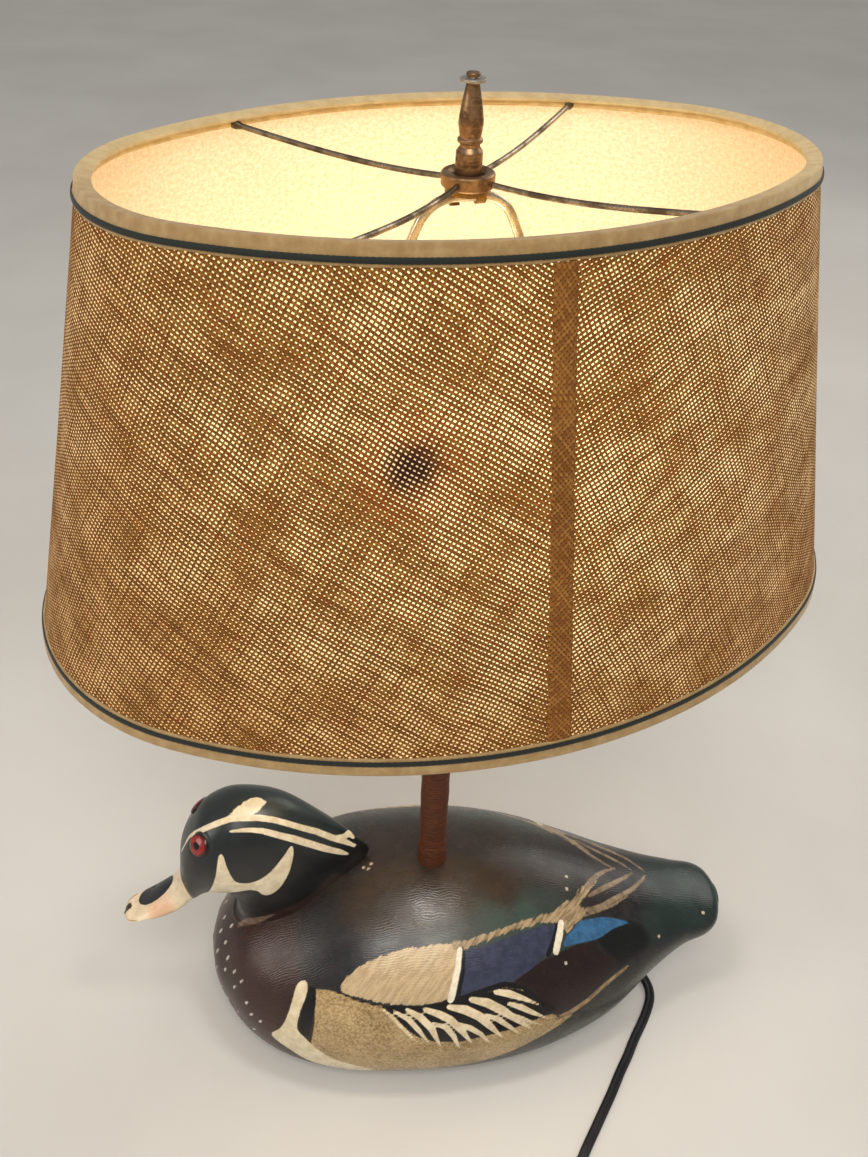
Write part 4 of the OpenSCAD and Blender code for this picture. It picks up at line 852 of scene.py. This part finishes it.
n2 = m.noise(m.scaled(m.obj(), (1, 1, 5)), 420.0, 4.0, 0.7)
c = m.mix(m.ramp(n1, 0.3, 0.7), (82, 38, 11), (50, 21, 6))
c = m.mix(m.mul(m.ramp(n2, 0.35, 0.75), 0.55), c, (128, 70, 28))
# Painted shade: darker in the grooves between the turns of the lacing
c = m.mix(m.ramp(m.attr("deep"), 0.6, 0.0), c, (28, 11, 4))
m.set(Base_Color=c, Roughness=m.ramp(n2, 0.2, 0.8, 0.40, 0.62), Specular_IOR_Level=0.35,
      Normal=m.bump(n2, 0.35, 0.0004))


def arc(cx, cz, r, a0, a1, n):
    """Points round part of a circle, from one angle to another in degrees."""
    a = np.radians(np.linspace(a0, a1, n))
    return np.stack([cx + r * np.cos(a), cz + r * np.sin(a)], 1)


# The harp: straight legs, a bend at the foot, long sides, and a bow with a flat top
LEG_X, LEG_TOP, WIRE_Z, HARP_HALF = 28.5, 378.0, 551.5, 48.0
FLAT, BOW_R, BOW_A = 5.5, 17.0, 65.0
ba = math.radians(BOW_A)
side_r = (HARP_HALF - FLAT - BOW_R * math.sin(ba)) / (1 - math.sin(ba))
side_z = WIRE_Z - BOW_R * (1 - math.cos(ba)) - side_r * math.cos(ba)
foot_a = 2 * math.atan((HARP_HALF - LEG_X) / (side_z - LEG_TOP))
foot_r = (side_z - LEG_TOP) / math.sin(foot_a) / 2
fa = math.degrees(foot_a)
half = np.vstack([[[LEG_X, 351.0], [LEG_X, 360.0], [LEG_X, 370.0]],
                  arc(LEG_X + foot_r, LEG_TOP, foot_r, 180, 180 - fa, 14),
                  arc(HARP_HALF - foot_r, side_z, foot_r, -fa, 0, 14)[1:],
                  arc(HARP_HALF - side_r, side_z, side_r, 0, 90 - BOW_A, 40)[1:],
                  arc(FLAT, WIRE_Z - BOW_R, BOW_R, 90 - BOW_A, 90, 24)[1:], [[0, WIRE_Z]]])
route = np.vstack([half, (half[:-1] * [-1, 1])[::-1]])
pts = np.stack([route[:, 0], np.zeros(len(route)), route[:, 1]], 1)
rod_piece("harp_bent_wire", turned(tube_rows(pts, *circle(16), 2.1, side=(0, 1.0, 0)), TURN), "base", "harp_brass",
          ["harp_wire"], metal("harp_brass", (204, 190, 164), (142, 124, 98), 0.24, 0.8, 70))

HUB_TOP = 562.1


def soften(profile, r):
    """Cuts each corner of a lathe profile, drawn from the hub's top, with a small round."""
    p = np.asarray(profile, float)
    out = [p[0]]
    for a, b, c in zip(p, p[1:], p[2:]):
        u, w = a - b, c - b
        lu, lw = np.linalg.norm(u), np.linalg.norm(w)
        k = min(r, lu * 0.4, lw * 0.4)
        s, e = b + u / lu * k, b + w / lw * k
        for t in (0, 0.33, 0.67, 1):
            out.append((1 - t) ** 2 * s + 2 * t * (1 - t) * b + t * t * e)
    return np.array(out + [p[-1]]) + [0, HUB_TOP]


fin = Mat("finial_brass", Metallic=1.0)
rod_piece("finial_turned", lathe(soften([
    [3.2, -2.45], [5.5, -2.45], [5.55, 0.2], [5.55, 7.6], [5.2, 8.1], [4.35, 9.3], [4.15, 9.6], [4.15, 10.9],
    [5.2, 11.3], [5.2, 12.6], [4.35, 13.2], [4.6, 15], [5.1, 18.5], [4.9, 21], [4.2, 25.5], [3.3, 30], [2.7, 33],
    [2.7, 33.9], [5.2, 34.1], [5.2, 35.3], [2.3, 35.5], [2.2, 36], [2.9, 36.2], [2.8, 37.2], [2.2, 37.5],
    [0.02, 37.5]], 0.3), 72), "finial", "finial_brass", ["finial"], fin)
m = fin
obj = m.obj()
z = m.axis(obj, 2)
patch = m.patches(obj, 190.0, 6.0, 0.65, 0.42, 0.62)
ringy = m.noise(m.scaled(obj, (0.05, 0.05, 1)), 900.0)
c = m.mix(patch, (142, 112, 82), (98, 72, 52))
c = m.mix(m.mul(m.ramp(ringy, 0.4, 0.7), 0.4), c, (168, 136, 102))
silver = m.mul(m.ramp(z, 0.5957, 0.5960), m.ramp(z, 0.5979, 0.5976))  # the disc near the top, painted pale silver
c = m.mix(silver, c, (168, 162, 150))
m.set(Base_Color=c, Roughness=m.ramp(patch, 0.0, 1.0, 0.4, 0.6), Normal=m.bump(ringy, 0.12, 0.0003))

hoop_piece("hub_ring", lathe(soften([
    [3.5, -6.45], [10.2, -6.45], [10.9, -5.9], [11.2, -5.4], [11.2, -1.0], [10.7, -0.35], [10.0, -0.05],
    [8.4, -0.05], [7.6, -0.5], [6.5, -1.6], [6.4, -2.45], [3.5, -2.45]], 0.25), 96),
    "shade", "antique_brass", ["spider_hub"], hub_metal, flip=True)

# ---- shade ----

RIM_BOTTOM, SHADE_H, SPREAD = 362.1, 206, 46  # the lower rim stands out by SPREAD
LEAN = math.atan(SPREAD / SHADE_H)
WALL = SHADE_H / math.cos(LEAN)
END_X, HALF_W, END_R = 88.0, 140.0, 111.0
SIDE_Y = (END_X ** 2 - (HALF_W - END_R) ** 2) / (2 * (HALF_W - END_R))
SIDE_R = HALF_W + SIDE_Y
SA = math.degrees(math.atan2(END_X, SIDE_Y))
ARCS = [(-90, -90 + SA, 0, SIDE_Y, SIDE_R), (-90 + SA, 90 - SA, END_X, 0, END_R),
        (90 - SA, 90 + SA, 0, -SIDE_Y, SIDE_R), (90 + SA, 270 - SA, -END_X, 0, END_R),
        (270 - SA, 270, 0, SIDE_Y, SIDE_R)]


def stations(step):
    """Round the lower rim from the seam: centre x, y, radius, direction, distance run."""
    out, run = [], 0.0
    for a0, a1, cx, cy, r in ARCS:
        n = max(2, round(math.radians(a1 - a0) * r / step))
        for k in range(n):
            a = a0 + (a1 - a0) * k / n
            out.append([cx, cy, r, math.radians(a), run + math.radians(a - a0) * r])
        run += math.radians(a1 - a0) * r
    return np.array(out), run


def leant(x, y):
    """From the wall's own directions, out of it and up it, to the level and the upright."""
    return x * math.cos(LEAN) - y * math.sin(LEAN), x * math.sin(LEAN) + y * math.cos(LEAN)


def swept(q, st):
    """Rings round the oval for a section at each station: [out of the wall, up it]."""
    lx, lz = leant(q[..., 0], q[..., 1])
    r, a = st[:, 2:3] + lx, st[:, 3:4]
    return turned(np.stack([st[:, 0:1] + r * np.cos(a), st[:, 1:2] + r * np.sin(a), lz], -1), TURN, RIM_BOTTOM)


def cloth(st, up, ease=58 / 78.46, start=-25.0):
    """The cut cloth's own directions at each point: the weave starts at an angle and turns with the cone."""
    run, a = st[:, 4], st[:, 3]
    head = math.radians(start) + (a + math.pi / 2) * math.sin(LEAN) * ease
    ds = np.diff(run, prepend=run[0])
    mid = np.concatenate([[head[0]], (head[1:] + head[:-1]) / 2])
    px, py = np.cumsum(ds * np.cos(mid)), np.cumsum(ds * np.sin(mid))
    u = px[:, None] - np.sin(head)[:, None] * up[None]
    v = py[:, None] + np.cos(head)[:, None] * up[None]
    return np.stack([u, v, np.zeros_like(u)], -1)


st, ROUND = stations(3.0)
UP_N = 48
up_line = np.linspace(0, WALL, UP_N)
# The wall isn't quite even: slow waves of a fraction of a millimetre
s, y = st[:, 4:5] / ROUND * 2 * math.pi, up_line[None] / WALL
waves = (0.30 * np.sin(9 * s + 2 * y) * np.sin(math.pi * y) + 0.18 * np.sin(23 * s + 5 * y)
         + 0.12 * np.sin(41 * s - 7 * y)) * np.sqrt(np.sin(math.pi * y)) * 0.5


def wall_piece(name, outside, inside, slot, node, mat):
    """A closed shell with its outer face at outside and its inner face at inside."""
    q = np.empty((len(st), 2 * UP_N, 2))
    q[:, :UP_N, 0] = outside + waves
    q[:, UP_N:, 0] = inside + waves[:, ::-1]
    q[..., 1] = both = np.concatenate([up_line, up_line[::-1]])
    put(hoop_piece(name, swept(q, st), "shade", slot, [node], mat), "cloth", cloth(st, both).reshape(-1, 3))


def weave(m, vec, pitch, thick, vary=0.16, slub=0.07):
    """A plain weave. Gives the holes' mask, the threads' height and their tone."""
    bend = m.noise(vec, 0.02, 2.0, out=1)
    vec = m.node("VectorMath", props={"operation": "MULTIPLY_ADD"}, i0=bend, i1=(5.0, 5.0, 0.0), i2=vec)
    wide = m.mul(m.add(m.noise(vec, 0.035, 3.0, 0.6), -0.5), 0.3)
    U, V = (m.mul(m.axis(vec, k), 1 / pitch) for k in (0, 1))

    def threads(across, along, thickness, shift, sign):
        """One set of threads: how far a point lies beyond a thread's edge, its height and tone."""
        i = m.math("FLOOR", across)
        f = m.math("ABSOLUTE", m.add(m.math("FRACT", across), -0.5))
        tone = m.noise(m.node("CombineXYZ", X=m.mul(i, 3.71), Y=m.mul(along, slub), Z=shift), 1.0, 2.0, 0.7)
        w = m.add(m.mul(m.add(tone, -0.5), vary * 2.2), m.add(wide, thickness))
        q = m.math("DIVIDE", f, w)
        curve = m.math("SQRT", m.math("MAXIMUM", m.math("SUBTRACT", 1.0, m.mul(q, q)), 0.0))
        over = m.mul(m.math("COSINE", m.mul(m.add(along, -0.5), math.pi)), m.math("COSINE", m.mul(i, math.pi)))
        return m.math("SUBTRACT", f, w), m.mul(curve, m.add(m.mul(over, 0.35 * sign), 0.65)), tone

    gu, hu, nu = threads(U, V, thick[0], 0.0, 1.0)
    gv, hv, nv = threads(V, U, thick[1], 40.0, -1.0)
    hole = m.ramp(m.math("MINIMUM", gu, gv), -0.03, 0.07)
    return hole, m.math("MAXIMUM", hu, hv), m.mix(m.math("GREATER_THAN", hu, hv), nv, nu)


BULB, NEAREST, FULL_LIGHT = (0.0, 0.0, 0.469), 0.09, 0.119  # metres


def bulb_light(m, obj, power):
    """How strongly the bulb's painted glow and shade show at a place: 1 at FULL_LIGHT from it, and no more within
    NEAREST.
    """
    far = m.math("MAXIMUM", m.away(obj, BULB), NEAREST)
    return m.math("POWER", m.math("DIVIDE", FULL_LIGHT, far), power)


burlap = Mat("burlap", Roughness=0.9, Specular_IOR_Level=0.2, Emission_Strength=1.0)
wall_piece("shade_cloth", 0.9, 0.02, "burlap", "shade_burlap", burlap)
m = burlap
vec, obj = m.attr("cloth", 1), m.obj()
hole, height, tone = weave(m, vec, 1.9, (0.23, 0.32))
lit = bulb_light(m, obj, 1.6)
c = m.mix(m.ramp(tone, 0.35, 0.65), (148, 102, 38), (98, 60, 18))
c = m.mix(m.mul(m.patches(vec, 1.8, 3.0, 0.7, 0.45, 0.75), 0.35), c, (184, 138, 70))
c = m.mix(m.mul(m.patches(vec, 0.12, 4.0, 0.75, 0.53, 0.66), 0.45), c, (150, 66, 24))
# Painted shade: the threads darken where they dip low between crossings
c = m.mix(m.ramp(height, 0.78, 0.2), c, (44, 24, 7))
STAIN = tuple(turned([-57.0, -107.0, 491.0], TURN) * MM)
blot = m.add(m.away(obj, STAIN), m.mul(m.add(m.noise(obj, 90.0, 4.0, 0.65), -0.5), 0.016))
stain = m.ramp(blot, 0.0165, 0.0025)
c = m.mix(m.mul(m.ramp(blot, 0.028, 0.012), 0.4), c, (132, 60, 26))
c = m.mix(m.mul(stain, 0.95), c, (50, 19, 8))
# Painted glow: the bulb's light through the holes and threads is painted as emission, warmer and weaker away from the
# bulb, dimmed by the stain
hot = m.mix(m.ramp(lit, 0.3, 0.8), (236, 158, 92), (255, 234, 180))
glow = m.mix(hole, m.mix(stain, (190, 104, 14), (24, 10, 2)), hot)
dim = m.mul(m.add(1.0, m.mul(stain, -0.35)), lit)
m.set(Base_Color=m.mix(hole, c, m.mix(stain, (214, 186, 138), (150, 110, 80))),
      Emission_Color=m.times(glow, m.mul(dim, m.ramp(hole, 0.0, 1.0, 0.17, 1.12))),
      Normal=m.bump(height, 0.8, 0.0007))

liner = Mat("cream_liner", Roughness=0.9, Emission_Strength=1.0)
wall_piece("shade_lining", -0.02, -0.6, "cream_liner", "shade_liner", liner)
m = liner
vec, obj = m.attr("cloth", 1), m.obj()
lf = m.noise(vec, 0.5, 5.0, 0.7)
both = m.add(m.mul(lf, 0.6), m.mul(m.noise(m.scaled(vec, (0.4, 2.4, 1)), 0.8, 3.0, 0.6), 0.4))
lit = bulb_light(m, obj, 1.4)
c = m.mix(m.ramp(both, 0.35, 0.65), (226, 206, 168), (248, 238, 212))
# Painted shade: the lining is darker and warmer away from the bulb
c = m.mix(m.ramp(lit, 0.35, 0.8), m.mix(1.0, c, (232, 196, 150), "MULTIPLY"), c)
# Painted glow: the bulb's light on the lining is painted as emission, weaker away from the bulb
glow = m.mix(m.ramp(lf, 0.3, 0.7), (255, 226, 168), (255, 240, 208))
m.set(Base_Color=c, Emission_Color=m.times(glow, m.mul(lit, 0.30)), Normal=m.bump(both, 0.35, 0.0008))

# The seam: a doubled strip with slightly uneven edges, its weave turned by 38 degrees
SEAM_HALF, SEAM_TURN = 5.6, math.radians(38)
TAPE_LEG = 8  # how far the rim tapes reach over the wall
y = np.linspace(TAPE_LEG, WALL - TAPE_LEG, 150)[:, None]
cols = np.linspace(-1, 1, 13)[None]
wob = 0.35 * np.sin(y / 7.0) + 0.25 * np.sin(y / 2.9 + 1)
x = SEAM_HALF * cols + wob * 0.5 * (np.abs(cols) > 0.9) * np.sign(cols)
lift = 0.95 + 0.8 * (1 - np.abs(cols) ** 8) + 0.06 * np.sin(y * 2.1 + cols * 6)
top = np.stack([x, lift, np.broadcast_to(y, x.shape)], -1)
low = top.copy()
low[..., 1] = 0.93
loop = np.concatenate([top, low[:, ::-1]], 1)
ang = -math.pi / 2 + loop[..., 0] / SIDE_R
lx, lz = leant(loop[..., 1], loop[..., 2])
rows = turned(np.stack([(SIDE_R + lx) * np.cos(ang), SIDE_Y + (SIDE_R + lx) * np.sin(ang), lz], -1), TURN, RIM_BOTTOM)
# The seam's emission is a faint painted glow of the bulb's light through it
seam_mat = Mat("seam_cloth", Roughness=0.9, Specular_IOR_Level=0.2, Emission_Color=rgb(150, 92, 36),
               Emission_Strength=0.16)
seam = rod_piece("seam_strip", rows, "shade", "burlap", ["shade_seam"], seam_mat)
flat_loop = np.stack([loop[..., 0], loop[..., 2], np.zeros(loop.shape[:2])], -1).reshape(-1, 3)
put(seam, "cloth", np.vstack([turned(flat_loop, -SEAM_TURN), np.zeros((2, 3))]))
m = seam_mat
hole, height, tone = weave(m, m.attr("cloth", 1), 1.7, (0.44, 0.44), 0.1)
c = m.mix(m.ramp(tone, 0.35, 0.65), (156, 108, 52), (110, 68, 28))
# Painted shade: the threads darken where they dip low
m.set(Base_Color=m.mix(m.ramp(height, 0.75, 0.2), c, (64, 34, 10)), Normal=m.bump(height, 0.8, 0.0006))

# Tapes folded over the rims
# The tape's emission is a faint painted glow of the bulb's light through it
tape = Mat("gold_tape", Roughness=0.8, Sheen_Weight=0.2, Emission_Color=rgb(190, 128, 58), Emission_Strength=0.12)
m = tape
vec = m.attr("cloth", 1)
tw, tw2 = (m.node("TexWave", props={"bands_direction": way}, Vector=vec, Scale=0.75, Distortion=1.2, Detail=2.0)
           for way in ("X", "Y"))
tn = m.noise(vec, 0.12, 4.0, 0.6)
c = m.mix(m.ramp(tn, 0.35, 0.65), (206, 184, 134), (190, 166, 114))
c = m.mix(m.mul(m.mul(tw, tw2), 0.25), c, (146, 114, 66))
# Painted shade: the tapes darken unevenly toward the front
front_shade = m.mul(m.ramp(m.axis(m.obj(), 1), 0.0, -0.08), m.ramp(tn, 0.25, 0.7, 0.55, 0.85))
m.set(Base_Color=m.mix(front_shade, c, (134, 106, 64)), Normal=m.bump(m.add(m.mul(m.add(tw, tw2), 0.3), tn), 0.35, 0.0006))

# The tape's section, from the outer leg's edge over the rim to the lip inside
TAPE = np.array([
    [0.95, -TAPE_LEG], [1.45, -7.9], [1.5, -7], [1.5, -4], [1.5, -1], [1.48, 0.1], [1.2, 0.45], [0.7, 0.58], [0, 0.6],
    [-1.2, 0.6], [-3, 0.6], [-4.0, 0.58], [-4.7, 0.45], [-5.0, 0.1], [-5.0, -0.5], [-4.95, -0.98],
    [-4.42, -0.98], [-4.4, -0.4], [-4.4, 0.0], [0.9, 0.0], [0.92, -4]])


def rim_tape(name, node, rim, upw):
    """A tape with slightly uneven faces and edge."""
    st, _ = stations(2.0)
    q = np.broadcast_to(TAPE, (len(st),) + TAPE.shape).copy()
    s = st[:, 4:5]
    front = (q[..., 0] > 1.3) & (q[..., 1] < -0.5)
    q[..., 0] += front * (0.06 * np.sin(s / 3.1) + 0.05 * np.sin(s / 1.7 + q[..., 1])) - front * 0.05
    q[..., 1] -= (q[..., 1] > 0.5) * (0.10 + 0.08 * np.sin(s / 4.3 + q[..., 0]) + 0.05 * np.sin(s / 1.9))
    q[..., 1] += (q[..., 1] < -7.5) * (0.12 * np.sin(s / 5.0) + 0.08 * np.sin(s / 2.2) + 0.1)
    along = q[..., 1].copy()
    q[..., 1] = rim + upw * along
    ob = hoop_piece(name, swept(q, st), "shade", "gold_tape", [node], tape, flip=upw > 0)
    cut = np.stack([np.broadcast_to(s, along.shape), along + q[..., 0], np.zeros_like(along)], -1)
    put(ob, "cloth", cut.reshape(-1, 3))


braid = two_tone("green_braid", (9, 15, 11), (20, 29, 20), (900.0,), None, (0.4, 0.0004), Roughness=0.75,
                 Sheen_Weight=0.1)
BRAID_HALF_T, BRAID_HALF_H, BRAID_STEP = 0.30, 1.3, 2.6
BRAID_IN = 1.2  # from the tape's edge to the braid


def rim_braid(name, node, rim, upw):
    """A braid along the tape's edge, puffed a little at each step of its plait."""
    st, _ = stations(0.9)
    c, sn = circle(10)
    x, y = BRAID_HALF_T * c, BRAID_HALF_H * sn
    q = np.empty((len(st), 10, 2))
    s = 2 * math.pi * st[:, 4:5] / BRAID_STEP
    q[..., 0] = 1.55 + BRAID_HALF_T + x * (1 + 0.10 * np.sin(s + np.sign(y) * 0.9))
    q[..., 1] = rim - upw * (TAPE_LEG - BRAID_IN - BRAID_HALF_H + y * (0.94 + 0.05 * np.sin(s)))
    hoop_piece(name, swept(q, st), "shade", "green_braid", [node], braid, flip=upw < 0)


for make, kind in ((rim_tape, "tape"), (rim_braid, "braid")):
    make("top_" + kind, "upper_" + kind, WALL, 1)
    make("bottom_" + kind, "lower_" + kind, 0, -1)

# The four arms sag a little from the hub and flare where they are soldered to the ring
ARM_START, ARM_Z, SAG = 9.25, 558.5, 2.6
ring_lx, ring_lz = leant(-2.2, WALL - 2.8)
ring_r, ring_z = SIDE_R + ring_lx, RIM_BOTTOM + ring_lz
verts, faces = [], []
for angle in (43.5, 137.5, 225.5, 311.5):
    a = math.radians(angle)
    k = SIDE_Y * abs(math.sin(a))
    end = math.sqrt(k * k - SIDE_Y ** 2 + ring_r ** 2) - k - 0.8
    t = np.concatenate([np.linspace(0, 0.94, 30), np.linspace(0.95, 1, 8)])
    run = ARM_START + (end - ARM_START) * t
    z = ARM_Z + (ring_z - ARM_Z) * t - SAG * np.sin(math.pi * t ** 0.8)
    pts = np.stack([run * math.cos(a), run * math.sin(a), z], 1)
    v, f = capped(tube_rows(pts, *circle(14), np.interp(t, [0, 0.955, 0.98, 1], [1.25, 1.25, 2.0, 1.9])))
    start = sum(map(len, verts))
    faces += [[start + i for i in q] for q in f]
    verts.append(v)
mesh_piece("spider_rods", turned(np.vstack(verts), TURN), faces, "shade", "dark_brass_rod", ["spider_arms"],
           metal("dark_rod", (156, 142, 120), (78, 66, 52), 0.26, 0.9, 70))
